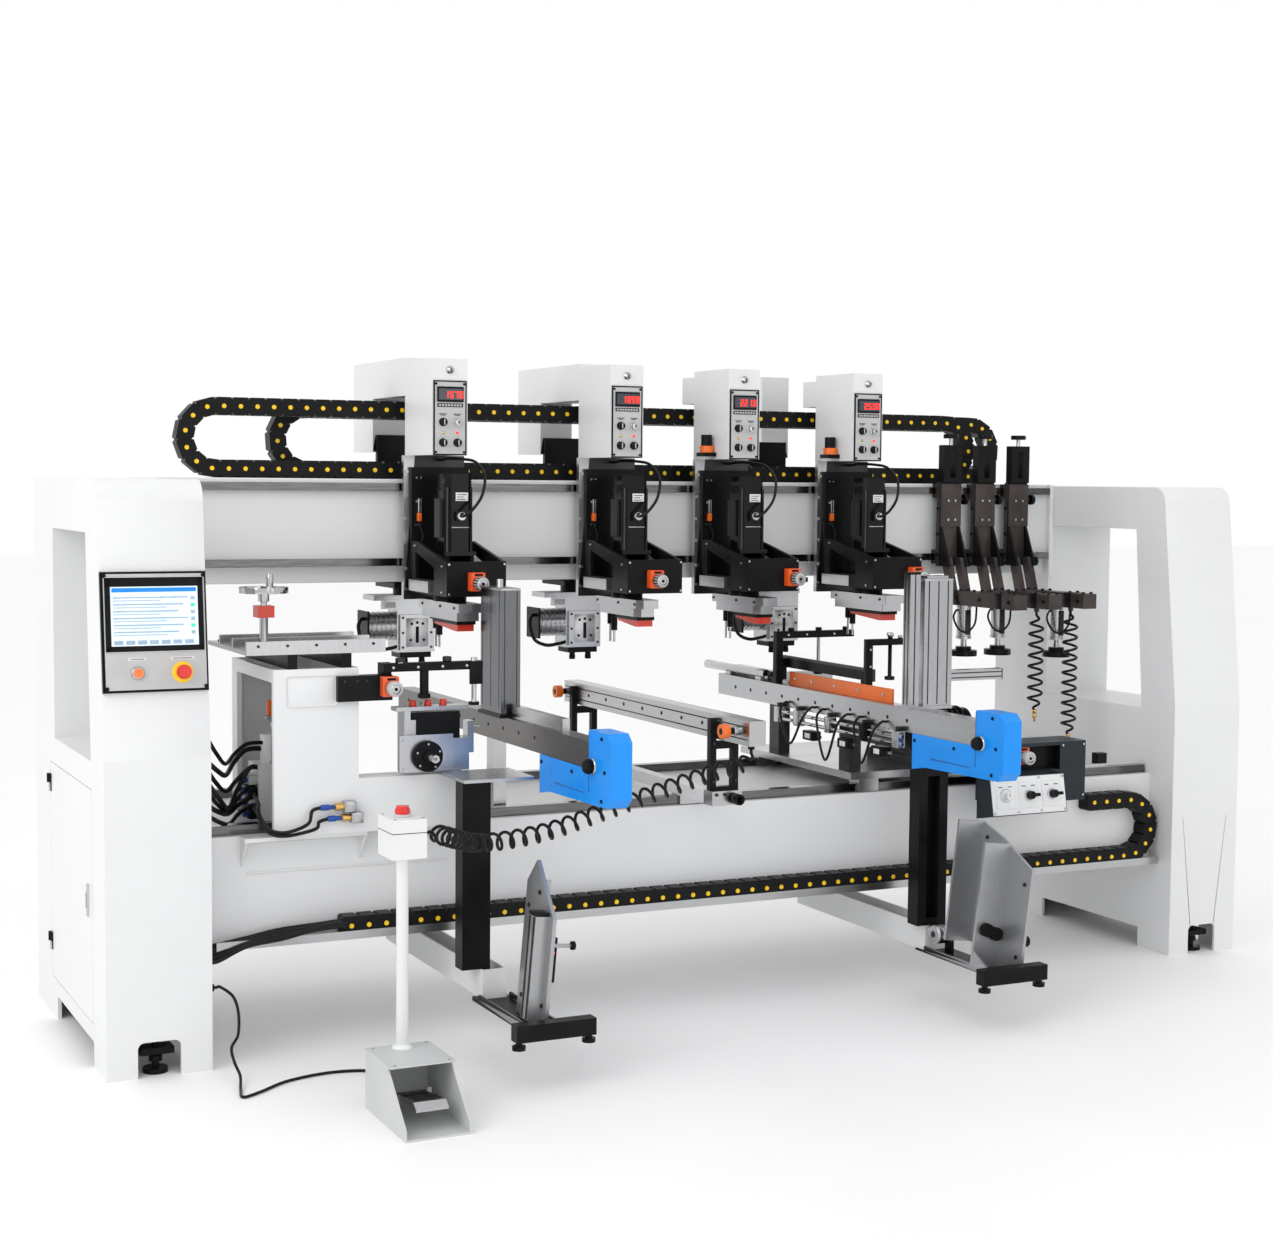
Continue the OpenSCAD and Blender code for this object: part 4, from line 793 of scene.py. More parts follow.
@dataclass
class Hoses(Assembly):
    """Curled hoses, the pedal cord and the loose cables of the frame.

    Args:
        gland: length of the glands.
        bar_bottom: underside of the panel bars.
    """

    gland: float = 14.0
    bar_bottom: float = 920.0

    def stand_hose(self) -> None:
        """Hose between the pedal stand and the middle support, left on no body."""
        start = Vector((STAND[0] + 50 + self.gland, -550, 765))
        end = Vector((MIDDLE_X, -250, self.bar_bottom - self.gland))
        points = [start + Vector((10, 0, 0)), start + Vector((60, 6, -8))]
        for share, y, z in ((0.214, -80, -221), (0.4, -20, -216), (0.565, 0, -171), (0.733, 0, -116), (0.889, 0, -68)):
            points.append(Vector((start.x + (end.x - start.x) * share, end.y + y, end.z + z)))
        points += [end - Vector((40, 0, 48)), end - Vector((4, 0, 26)), end - Vector((0, 0, 10))]
        axis = curve_through([spot(*p) for p in points], 4)
        hose = CurledHose("stand_hose", "coil_hose", axis, 30, 25.0, Vector((1, 0, 0)), Vector((0, 0, 1)))
        obj, path = hose.build(None, False)
        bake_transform(obj)

    def presser_hoses(self) -> None:
        """Hoses that hang from two pressers."""
        top, down = 1266, Vector((0, 0, -1))
        for k, bottom, turns in ((2, 900.0, 9), (3, 800.0, 12)):
            x = PRESSER_X + PRESSER_PITCH * (k - 1) + 56
            axis = [spot(x, 366, top + (bottom - top) * i / 10) for i in range(11)]
            hose = CurledHose("hanging_hose_%d" % k, "presser_hose_%d" % k, axis, turns, 26.0, down, down)
            hose.build("presser_%d" % k, True)

    def pedal_cord(self) -> None:
        """Cord from the left column over the floor to the pedal."""
        w, s = COLUMN_WIDTH, STAND[0]
        self.cable("pedal_lead", [
            (w + 14, 40, 238), (w + 24, 40, 238), (w + 34, 40, 238), (w + 68, 25, 210), (w + 78, 0, 165),
            (w + 66, -40, 110), (w + 40, -65, 80), (w + 36, -110, 50), (w + 40, -160, 22), (w + 20, -240, 6),
            (320, -310, 5), (380, -280, 5), (480, -210, 5), (620, -180, 5), (740, -220, 5), (770, -330, 5),
            (730, -430, 14), (s, -490, 26), (s, -505, 26), (s, -519, 26)], 9.0, "loose", node="pedal_cord")

    def block_cables(self) -> None:
        """Cables from the left column to the left block and to the bed chain."""
        w = COLUMN_WIDTH
        for i, (z0, z1, sag, y0, y1, thick) in enumerate((
            (985, 925, 50, 190, 350, 13.0), (905, 905, 64, 170, 360, 16.0), (890, 850, 60, 205, 330, 14.0),
            (840, 852, 96, 150, 318, 15.0), (815, 800, 70, 180, 320, 13.0), (770, 760, 36, 170, 316, 16.0),
            (740, 735, 40, 140, 312, 14.0),
        ), 1):
            low, end = min(z0, z1) - sag, 540 if z1 < 860 else 562
            self.cable("block_cable_%d" % i, [
                (w, y0, z0), (w + 26, y0 + 2, z0 - 4), (w + 66, y0 + 12, low + (z0 - low) * 0.4),
                (w + 112, (y0 + y1) / 2, low), (w + 158, y1 - 14, low + (z1 - low) * 0.4), (w + 200, y1, z1 - 3),
                (end, y1, z1)], thick)
        for i in range(5):
            y, z = 48.0 + 11 * i, 392.0 - 7 * (i % 2)
            self.cable("chain_feed_%d" % (i + 1), [
                (w, y, 318 + 9 * i), (w + 30, y, 316 + 9 * i), (w + 120, y + 3, 352 + 3 * i), (w + 230, y, 366 + 4 * i),
                (w + 340, y, z - 4), (715, y, z), (738, y, z)], 15.0, "loose")

    def block_plugs(self) -> None:
        """Two cables that are plugged into the front of the left block."""
        for i, (dx, dz) in enumerate(((0, 0), (22, -35)), 1):
            x, z = 700 + dx, 757 + dz
            plug = Piece("block_plug_%d" % i, (x, 44, z))
            plug.turned((-44, 0, 0), Axis.X, ((0, 7), (4, 9), (26, 9), (28, 7), (46, 7)), SLEEVE_BLUE, 14)
            plug.turned(ORIGIN, Axis.X, ((0, 9), (2, 12), (16, 12), (17, 10), (30, 10)), BRASS, 16)
            plug.block((28, 66), (-18, 16), (-17, 17), STEEL, 3.0)
            plug.build("frame")
            self.cable("plug_cable_%d" % i, [
                (x - 42, 44, z), (x - 70, 43, z - 8), (614 + dx, 34, 712 + dz * 0.5), (545, 26, 692 + dz * 0.3),
                (494, 30, 704 + dz * 0.3), (474, 66, 742 + dz * 0.3), (490, 140, 768 + dz), (508, 250, 772 + dz),
                (524, 310 - dx, 772 + dz), (540, 316 - dx / 2, 772 + dz)], 11.0)

    def block_valves(self) -> None:
        """Valves and the air cylinder in the opening of the left block."""
        piece = Piece("block_valves")
        for i in range(4):
            z = 690 + 36 * i
            piece.block((508, 537), (312, 404), (z, z + 28), GREY if i % 2 else BLACK, 2.0)
            for y in (330, 386):
                piece.turned((509, y, z + 14), Axis.LEFT, ((0, 7), (6, 7), (7, 9), (14, 9), (16, 6)), SLEEVE_BLUE, 14)
        cylinder = ((0, 24), (4, 26), (12, 26), (13, 22), (120, 22), (121, 26), (132, 26), (134, 9), (172, 9))
        piece.turned((606, 330, 858), Axis.Z, cylinder, ALUMINIUM)
        piece.block((560, 650), (304, 318), (1000, 1014), STEEL, 2.0)
        piece.block((566, 600), (303, 322), (1014, 1062), SAFETY_ORANGE, 3.0)
        piece.build("frame")

    def build(self) -> None:
        """Makes every hose, cord and cable of the frame."""
        self.block_valves()
        self.stand_hose()
        self.presser_hoses()
        self.pedal_cord()
        self.block_cables()
        self.block_plugs()


@dataclass
class ChainRun:
    """One cable chain that runs out, turns over and runs back, with a dot on each link.

    Args:
        name: name of its dots.
        start: first point of its centre line.
        run: length of the lower run.
        back: length of the upper run.
        way: 1 if it runs to the right, -1 if it runs to the left.
        bend: bend radius.
        pitch: link pitch.
    """

    name: str
    start: Point
    run: float
    back: float
    way: int
    bend: float = 104.0
    pitch: float = 56.0

    def places(self) -> list[Point]:
        """Middle of every link on the front face.

        Returns:
            The places in millimetres.
        """
        half = math.pi * self.bend
        total = self.run + half + self.back
        count = int(total // self.pitch)
        found = []
        for i in range(count):
            s = (i + 0.5) * (total / count)
            if s < self.run:
                x, z = s, 0.0
            elif s < self.run + half:
                a = (s - self.run) / self.bend
                x, z = self.run + self.bend * math.sin(a), self.bend * (1.0 - math.cos(a))
            else:
                x, z = self.run - (s - self.run - half), 2.0 * self.bend
            found.append((self.start[0] + self.way * x, self.start[1], self.start[2] + z))
        return found

    def build(self) -> None:
        """Sets the dots on the links."""
        Studs(self.name, "frame", self.places(), Axis.FRONT, 8.0, 2.5, YELLOW, 14).build()


@dataclass
class Structure:
    """Columns, beam, bed, rails, chains and tray.

    Args:
        edge: softened edge of the sheet metal in millimetres.
        chain_level: height of the upper chains' lower run.
    """

    edge: float = 4.0
    chain_level: float = 1785.0

    def chains(self) -> None:
        """Dots on the links of all chains."""
        for name, x, y, z, run, back, way in (
            ("dots_front_left", 2040.0, 850.0, self.chain_level, 1493.0, 1478.0, -1),
            ("dots_front_right", 2080.0, 850.0, self.chain_level, 1389.0, 1379.0, 1),
            ("dots_rear_left", 2110.0, 960.0, self.chain_level, 1218.0, 1203.0, -1),
            ("dots_rear_right", 2150.0, 960.0, self.chain_level, 1513.0, 1503.0, 1),
            ("dots_bed", 735.0, 70.0, 379.0, 3043.0, 190.0, 1),
        ):
            ChainRun(name, (x, y, z), run, back, way).build()

    def door(self) -> None:
        """Handle of the cabinet door and the caps of its hinges."""
        latch = Piece("door_latch")
        latch.block((-10.4, -4.6), (214, 232), (446, 544), GREY, 2.0)
        latch.block((-11.9, -10.0), (219, 227), (472, 518), BLACK, 0.6)
        latch.build("door")
        for i, z in enumerate((242.0, 763.0), 1):
            cover = Piece("hinge_cover_%d" % i)
            cover.turned((-6, 862, z), Axis.Z, ((0, 5.6), (1, 5.9), (27, 5.9), (28.5, 5)), BLACK, 20).build("door")

    def build(self) -> None:
        """Finishes the welded structure."""
        paint("left_column", WHITE, [(BLACK, (311.2, 326), (20, 60), (215, 262))], self.edge)
        for node in ("right_column", "upper_beam", "lower_bed", "left_block"):
            paint(node, WHITE, edge=self.edge)
        paint("cabinet_door", WHITE, [(BLACK, (-13, -0.5), (840, 870), (200, 800))], 1.5)
        paint("guide_rails", RAIL, edge=1.0)
        for node, finish in (("chain_tray", ALUMINIUM_X), ("levelling_feet", BLACK), ("control_gear", GREY),
                             ("head_cable_chain", CHAIN), ("bed_cable_chain", CHAIN)):
            paint(node, finish)
        self.chains()
        self.door()
        Piece("block_panel").block((555, 712), (58.2, 60.2), (1066, 1158), WHITE, 6.0).build("frame")


@dataclass
class Dial(Assembly):
    """Ribbed knob with a dark centre in front of an orange indicator box, measured from the box's rear corner.

    Args:
        name: name of the finished object.
    """

    name: str

    def build(self) -> None:
        """Makes the box's window, the ribbed knob and its bore."""
        piece = self.piece(self.name)
        piece.block((-0.8, 50.8), (-32.8, -0.2), (-0.8, 60.8), ORANGE, 3.0)
        piece.block((12, 40), (-33.4, -32.4), (50, 57), BLACK, 0.4)
        for y, profile, finish, sides, flute in (
            (-33, ((0, 20.6), (12, 20.6)), DARK_STEEL, 28, 0.0),
            (-44, ((0, 22), (1.5, 23.6), (24, 23.6), (26.6, 21.5)), GREY, 60, 0.05),
            (-70, ((0, 15), (1.2, 15), (1.4, 10)), STEEL, 24, 0.0),
            (-71, ((0, 5.5), (0.9, 5.5)), BLACK, 12, 0.0),
        ):
            piece.turned((27, y, 26), Axis.FRONT, profile, finish, sides, flute)
        piece.build(self.body)


def digits(piece: Piece, text: str, start: Point, height: float) -> None:
    """Adds a row of lit digits made of seven bars each.

    Args:
        piece: piece that takes them.
        text: digits to show.
        start: lower left corner on the face that they stand on.
        height: height of a digit.
    """
    lit = {"0": "abcdef", "1": "bc", "2": "abged", "3": "abgcd", "4": "fgbc", "5": "afgcd", "6": "afgedc", "7": "abc",
           "8": "abcdefg", "9": "abcdfg"}
    h, t, w = height, height * 0.16, height * 0.52
    bars = {"a": (0, w, h - t, h), "g": (0, w, (h - t) / 2, (h + t) / 2), "d": (0, w, 0, t), "f": (0, t, h / 2, h),
            "b": (w - t, w, h / 2, h), "e": (0, t, 0, h / 2), "c": (w - t, w, 0, h / 2)}
    x, y, z = start
    for i, digit in enumerate(text):
        left = x + i * h * 0.78
        for bar in lit[digit]:
            a, b, c, d = bars[bar]
            piece.block((left + a, left + b), (y - 0.6, y), (z + c, z + d), LED_RED)


@dataclass
class UnderUnit(Assembly):
    """Boring unit under the beam, measured from its gear case's left side, its middle and its hanger's underside.

    Args:
        name: start of the names of its pieces.
    """

    name: str

    @staticmethod
    def place(x: float) -> Point:
        """Place of a unit whose gear case starts at x."""
        return (x, 1020.0, 1370.0)

    @staticmethod
    def regions(x: float) -> list[Region]:
        """Finishes of the parts of a unit whose gear case starts at x; later ones win."""
        return [(ALUMINIUM, (x - 115, x + 145), (950, 1082), (1090, 1343.5)),
                (STEEL, (x - 105, x - 0.5), (968, 1072), (1178, 1284)),
                (BLACK, (x - 115, x - 103.5), (960, 1078), (1174, 1290)),
                (BLACK, (x + 10, x + 131), (970, 1070), (1090, 1139.5))]

    def build(self) -> None:
        """Adds ribs, screws, chucks with bits and a hose."""
        piece = self.piece(self.name)
        for i in range(5):
            piece.turned((-96 + i * 19, 0, -138), Axis.X, ((0, 49), (1, 52.5), (7, 52.5), (8, 49)), ALUMINIUM, 32)
        for x in (38, 102):
            piece.turned((x, -24, -276), Axis.Z, ((0, 9), (1, 11.5), (14, 11.5), (16, 10.6), (26, 10.6)), BLACK, 18)
        piece.block((30, 112), (-63.2, -61.6), (-210, -108), STEEL, 0.6)
        piece.block((-50, -10), (-63.4, -60), (-70, -50), GREY, 1.0)
        piece.block((65, 77), (-64.4, -63), (-196, -138), BLACK, 0.4)
        for x, z in ((50, -128), (92, -128), (46, -186), (96, -186), (71, -124)):
            piece.turned((x, -63, z), Axis.FRONT, ((0, 5), (1.4, 5)), BLACK, 16)
        piece.build(self.body)
        self.studs(self.name + "_screws", grid((18, 124), (-62,), (-212, -160, -106)), Axis.FRONT, 5.0, 3.5, DARK_STEEL)
        self.cable(self.name + "_lead", [
            (-112, -20, -110), (-126, -24, -112), (-140, -40, -140), (-128, -56, -196), (-84, -64, -218),
            (-30, -58, -214), (0, -44, -210), (6, -44, -210)], 13.0)


@dataclass
class BoringHead(Assembly):
    """One boring head, measured from the left side of its control box.

    Args:
        index: number of the head, from the left.
        dial: place of the indicator.
    """

    index: int
    dial: float

    def finishes(self) -> None:
        """Finishes of the solids."""
        k = self.index
        sensor_x, sensor_y = (-60, -0.5), (610, 670)
        self.paint("head_carriage_%d" % k, WHITE, [
            (DARK_STEEL, (-200, 300), (600, 800), (1340, 1835.5)), (STEEL, (-31, -5), (717, 739), (1340, 1837)),
            (BLACK, sensor_x, sensor_y, (1840, 1926)), (SAFETY_ORANGE, sensor_x, sensor_y, (1860.5, 1884.2)),
            (BLACK, sensor_x, sensor_y, (1884.4, 1926)), (BLACK, (-5, 300), (900, 1135), (1340, 1913)),
            (BLACK, (-100, 250), (900, 1081), (1340, 1345)), *UnderUnit.regions(UNDER_UNIT_OFFSET),
            (GREY, (8, 119), (520, 524.6), (1838, 2082)), (SCREEN, (17, 110), (517, 520.9), (2012, 2064)),
            (BLACK, (24, 105), (504, 520.8), (1860, 1960)), (CHROME, (74, 105), (504, 520.8), (1930, 1960)),
            (CHROME, (50, 77), (510, 524.5), (2108, 2130)),
        ], 2.5)
        self.paint("head_slide_%d" % k, BLACK, [(STEEL, (-20, -9.5), (500, 700), (1370, 1420))], 1.5)
        # The dark steel strip down the motor's left side, next to its front corner, is a painted highlight: a lighter
        # metal band on the gloss black.
        self.paint("motor_%d" % k, GLOSS_BLACK, [
            (CHROME, (73, 103), (469, 482.5), (1620, 1646)), (DARK_STEEL, (43, 52.6), (498, 507.6), (1516, 1731))], 1.2)
        self.paint("gear_head_%d" % k, ALUMINIUM, [
            (BLACK, (0, 120), (280, 578), (1280.5, 1292.8)), (GUARD_RED, (0, 120), (280, 578), (1255, 1281.2)),
            (BLACK, (35, 75), (605, 640), (1249, 1292.8)), (CHROME, (45, 65), (605, 640), (1180, 1251)),
            (BLACK, (-20, 130), (430, 550), (1351.2, 1372))], 1.5)
        self.paint("spindle_%d" % k, CHROME, [(BLACK, (30, 80), (570, 610), (1230, 1300))])

    def control_box(self) -> None:
        """Border, display, marks and screws on the front of the box."""
        carriage = "carriage_%d" % self.index
        piece = self.piece("box_front_%d" % self.index)
        for x, z in (((5, 9.5), (1836, 2084)), ((117.5, 122), (1836, 2084)), ((5, 122), (1836, 1840.5)),
                     ((5, 122), (2079.5, 2084))):
            piece.block(x, (519.6, 525.5), z, BLACK, 0.8)
        piece.block((16.5, 110.5), (516.8, 520), (2012.5, 2063.5), BLACK, 1.2)
        piece.block((22, 105), (516.2, 517), (2020, 2057), SCREEN)
        digits(piece, "%04d" % (1250 + 320 * self.index), (44, 516.2, 2026), 22.0)
        piece.block((18, 109), (519.6, 521.2), (1996, 2008), SLATE, 0.4)
        for i in range(8):
            piece.block((23 + i * 10.5, 30 + i * 10.5), (519.2, 519.8), (1999, 2005), GREY)
        for x, lamp in ((38, BRASS), (89, LED_RED)):
            for z, wide in ((1972, 14), (1968, 9)):
                piece.block((x - wide, x + wide), (520.2, 521.2), (z, z + 2.2), SLATE)
            piece.turned((x, 521, 1911), Axis.FRONT, ((0, 4.5), (2, 4.5), (3.5, 2.5)), lamp, 12)
        for x, z in ((38, 1878), (89, 1878), (38, 1946)):
            piece.turned((x, 521, z), Axis.FRONT, ((0, 14), (2, 14), (3, 11.6), (15, 11.6), (17, 9.5)), BLACK, 24)
            piece.block((x - 2, x + 2), (503.2, 505), (z - 9, z + 9), GREY, 0.5)
        piece.turned((89, 521, 1946), Axis.FRONT, ((0, 15), (2, 15), (3, 12), (16.4, 12), (17, 10)), CHROME, 24)
        piece.block((86.5, 91.5), (503.4, 505), (1941, 1951), BLACK, 0.4)
        piece.turned((63.5, 525, 2119), Axis.FRONT, ((0, 13), (2, 13), (3, 9.4), (13, 9.4)), CHROME, 20)
        piece.block((61.5, 65.5), (511.2, 512.6), (2114, 2124), BLACK)
        piece.build(carriage)
        self.studs("box_screws_%d" % self.index, grid((14, 113), (521,), (1846, 2073)), Axis.FRONT, 4.4, 2.4, BLACK, 10,
                   carriage)
        self.studs("plate_bolts_%d" % self.index, grid((-20,), (718,), (1380, 1450, 1540, 1620, 1700, 1780)),
                   Axis.FRONT, 6.5, 7.0, STEEL, 6, carriage)

    def motor_front(self) -> None:
        """Rating plate without words, seams and the lead of the motor."""
        piece = self.piece("motor_front_%d" % self.index)
        piece.block((74, 118), (493.8, 495.4), (1684, 1712), LABEL, 0.4)
        for i, wide in enumerate((34, 24, 30)):
            piece.block((78, 78 + wide), (493.4, 494), (1704 - 8 * i, 1706.4 - 8 * i), SLATE)
        piece.block((60, 120.5), (494.2, 495.6), (1594, 1597), GREY)
        piece.turned((88, 470.4, 1633), Axis.Y, ((0, 14), (2, 15), (12, 15), (14, 16)), STEEL, 20)
        piece.build(self.body)
        self.cable("motor_lead_%d" % self.index, [
            (88, 470, 1633), (90, 452, 1636), (112, 440, 1655), (150, 452, 1700), (176, 490, 1765), (168, 545, 1812),
            (140, 590, 1824), (100, 640, 1826), (96, 680, 1822), (96, 718, 1822)], 10.0,
            to_body="carriage_%d" % self.index)

    def slide_front(self) -> None:
        """Screws, thin leads and the indicator of the bracket."""
        k = self.index
        Dial("dial_%d" % k, body=self.body, at=(self.at[0] + self.dial, 357.0, 1391.0)).build()
        heads = grid((-2, 193), (357,), (1380, 1478)) + grid((8, 24), (697.6,), (1600, 1680, 1760))
        self.studs("bracket_screws_%d" % k, heads, Axis.FRONT, 4.5, 4.0, STEEL)
        side = [(-9, 400, 1384), (-9, 400, 1470), (-9, 660, 1384), (-9, 660, 1530)]
        self.studs("bracket_side_screws_%d" % k, side, Axis.LEFT, 5.0, 4.0, STEEL)
        self.studs("gear_screws_%d" % k, grid((10,), (340, 470, 640), (1336,)), Axis.LEFT, 5.0, 3.0, DARK_STEEL)
        sensor = self.piece("sensor_%d" % k)
        sensor.block((10, 22), (684, 697.8), (1640, 1690), STEEL, 1.5)
        sensor.block((9, 23), (682, 697.8), (1612, 1640), SAFETY_ORANGE, 2.0)
        sensor.build(self.body)
        self.cable("sensor_lead_%d" % k, [
            (16, 690, 1612), (16, 688, 1598), (24, 676, 1566), (12, 668, 1530), (6, 674, 1490), (8, 690, 1460),
            (8, 697.6, 1452)], 6.0)

    def build(self) -> None:
        """Finishes and dresses the head."""
        self.finishes()
        self.control_box()
        self.motor_front()
        self.slide_front()


@dataclass
class Presser(Assembly):
    """One presser with its rod, measured from the left side of its upright.

    Args:
        index: number of the presser, from the left.
        rod: distance of its rod from the column fronts.
    """

    index: int
    rod: float

    def finishes(self) -> None:
        """Finishes of the solids."""
        r = self.rod
        self.paint(self.body, BROWN_STEEL, [
            (BLACK, (-5, 120), (690, 745), (1757, 1906)), (CHROME, (40, 72), (710, 728), (1905, 1931)),
            (BLACK, (20, 92), (685, 752), (1930, 1950)), (BLACK, (8, 22), (640, 718), (1434, 1602)),
            (BLACK, (90, 104), (640, 718), (1434, 1602)), (BLACK, (102, 142), (700, 760), (1670, 1720)),
            (ALUMINIUM, (25, 90), (r - 30, r + 30), (1150, 1289.5)),
        ], 1.5)
        self.paint("presser_rod_%d" % self.index, BLACK, [(CHROME, (40, 72), (r - 15, r + 15), (1131, 1260))])

    def build(self) -> None:
        """Finishes and dresses the presser."""
        k, r = self.index, self.rod
        self.finishes()
        piece = self.piece("presser_knobs_%d" % k)
        piece.turned((56, 719, 1931), Axis.Z, ((0, 20), (2, 29.6), (13, 29.6), (16.4, 26)), BLACK, 36, 0.04)
        piece.turned((122, 726, 1695), Axis.X, ((0, 17), (2, 20.4), (12, 20.4), (14.6, 17)), BLACK, 32, 0.06)
        piece.turned((104, 690, 1452), Axis.X, ((0, 7), (14, 7), (15, 19), (27, 19), (29, 16)), BLACK, 32, 0.06)
        cylinder = ((0, 30), (9, 30), (10, 27.6), (118, 27.6), (119, 30), (129, 30))
        piece.turned((56, r, 1289), Axis.DOWN, cylinder, ALUMINIUM)
        piece.block((44, 68), (r - 29, r - 26), (1176, 1272), DARK_STEEL, 1.0)
        piece.block((24, 88), (330, 372), (1289, 1347), BLACK, 2.0)
        piece.build(self.body)
        self.studs("arm_bolts_%d" % k, grid((38, 74), (270, 350, 520, 610), (1346,)), Axis.Z, 7.0, 7.0, BLACK, 6)
        side = grid((26,), (286, 470, 620), (1318,)) + grid((8,), (728,), (1480, 1560, 1660))
        self.studs("arm_side_bolts_%d" % k, side, Axis.LEFT, 7.0, 5.0, BLACK, 6)
        self.studs("presser_screws_%d" % k, grid((40, 72), (708,), (1690, 1616)), Axis.FRONT, 6.0, 5.0, STEEL, 6)
        pad = self.piece("presser_pad_%d" % k)
        pad.turned((56, r, 1094), Axis.Z, ((0, 48), (3, 52.4), (18, 52.4), (22.4, 46)), RUBBER, 36, 0.02)
        pad.build("presser_rod_%d" % k)
        self.cable("presser_air_%d" % k, [
            (30, r, 1270), (18, r, 1268), (2, r - 10, 1240), (6, r - 40, 1200), (30, r - 60, 1190), (60, r - 66, 1220),
            (70, r - 62, 1270), (70, r - 60, 1291)], 8.0)


@dataclass
class BarCap(Assembly):
    """Blue end cap of a panel bar with its star knob, measured from the left side of the bar.

    Args:
        name: start of the names of its pieces.
    """

    name: str

    @staticmethod
    def regions(x: float) -> list[Region]:
        """Finishes of the cap and knob of a bar that starts at x; later ones win."""
        return [(BLUE, (x - 5, x + 66), (-710, -189), (790, 1040)),
                (BLACK, (x - 36, x - 4.5), (-610, -550), (900, 960)),
                (ALUMINIUM, (x - 2, x + 62), (-549, -180), (919, 1001))]

    def build(self) -> None:
        """Adds the star knob, the slot and the screws of the cap."""
        piece = self.piece(self.name)
        piece.turned((-10, -578, 932), Axis.LEFT, ((0, 20), (1, 22), (13, 22), (23.6, 15), (25, 11)), BLACK, 40, 0.12)
        piece.turned((-4, -578, 932), Axis.LEFT, ((0, 25), (2, 25), (6, 19)), CHROME, 32)
        piece.block((-4.6, -3.6), (-520, -300), (846, 849), SLEEVE_BLUE)
        piece.block((-4.6, -3.6), (-552, -549), (852, 1030), SLEEVE_BLUE)
        piece.build(self.body)
        heads = [(-4, -432, 898), (-4, -205, 898), (-4, -660, 923), (-4, -640, 1018), (-4, -640, 838)]
        self.studs(self.name + "_screws", heads, Axis.LEFT, 6.0, 3.5, BLACK, 12)


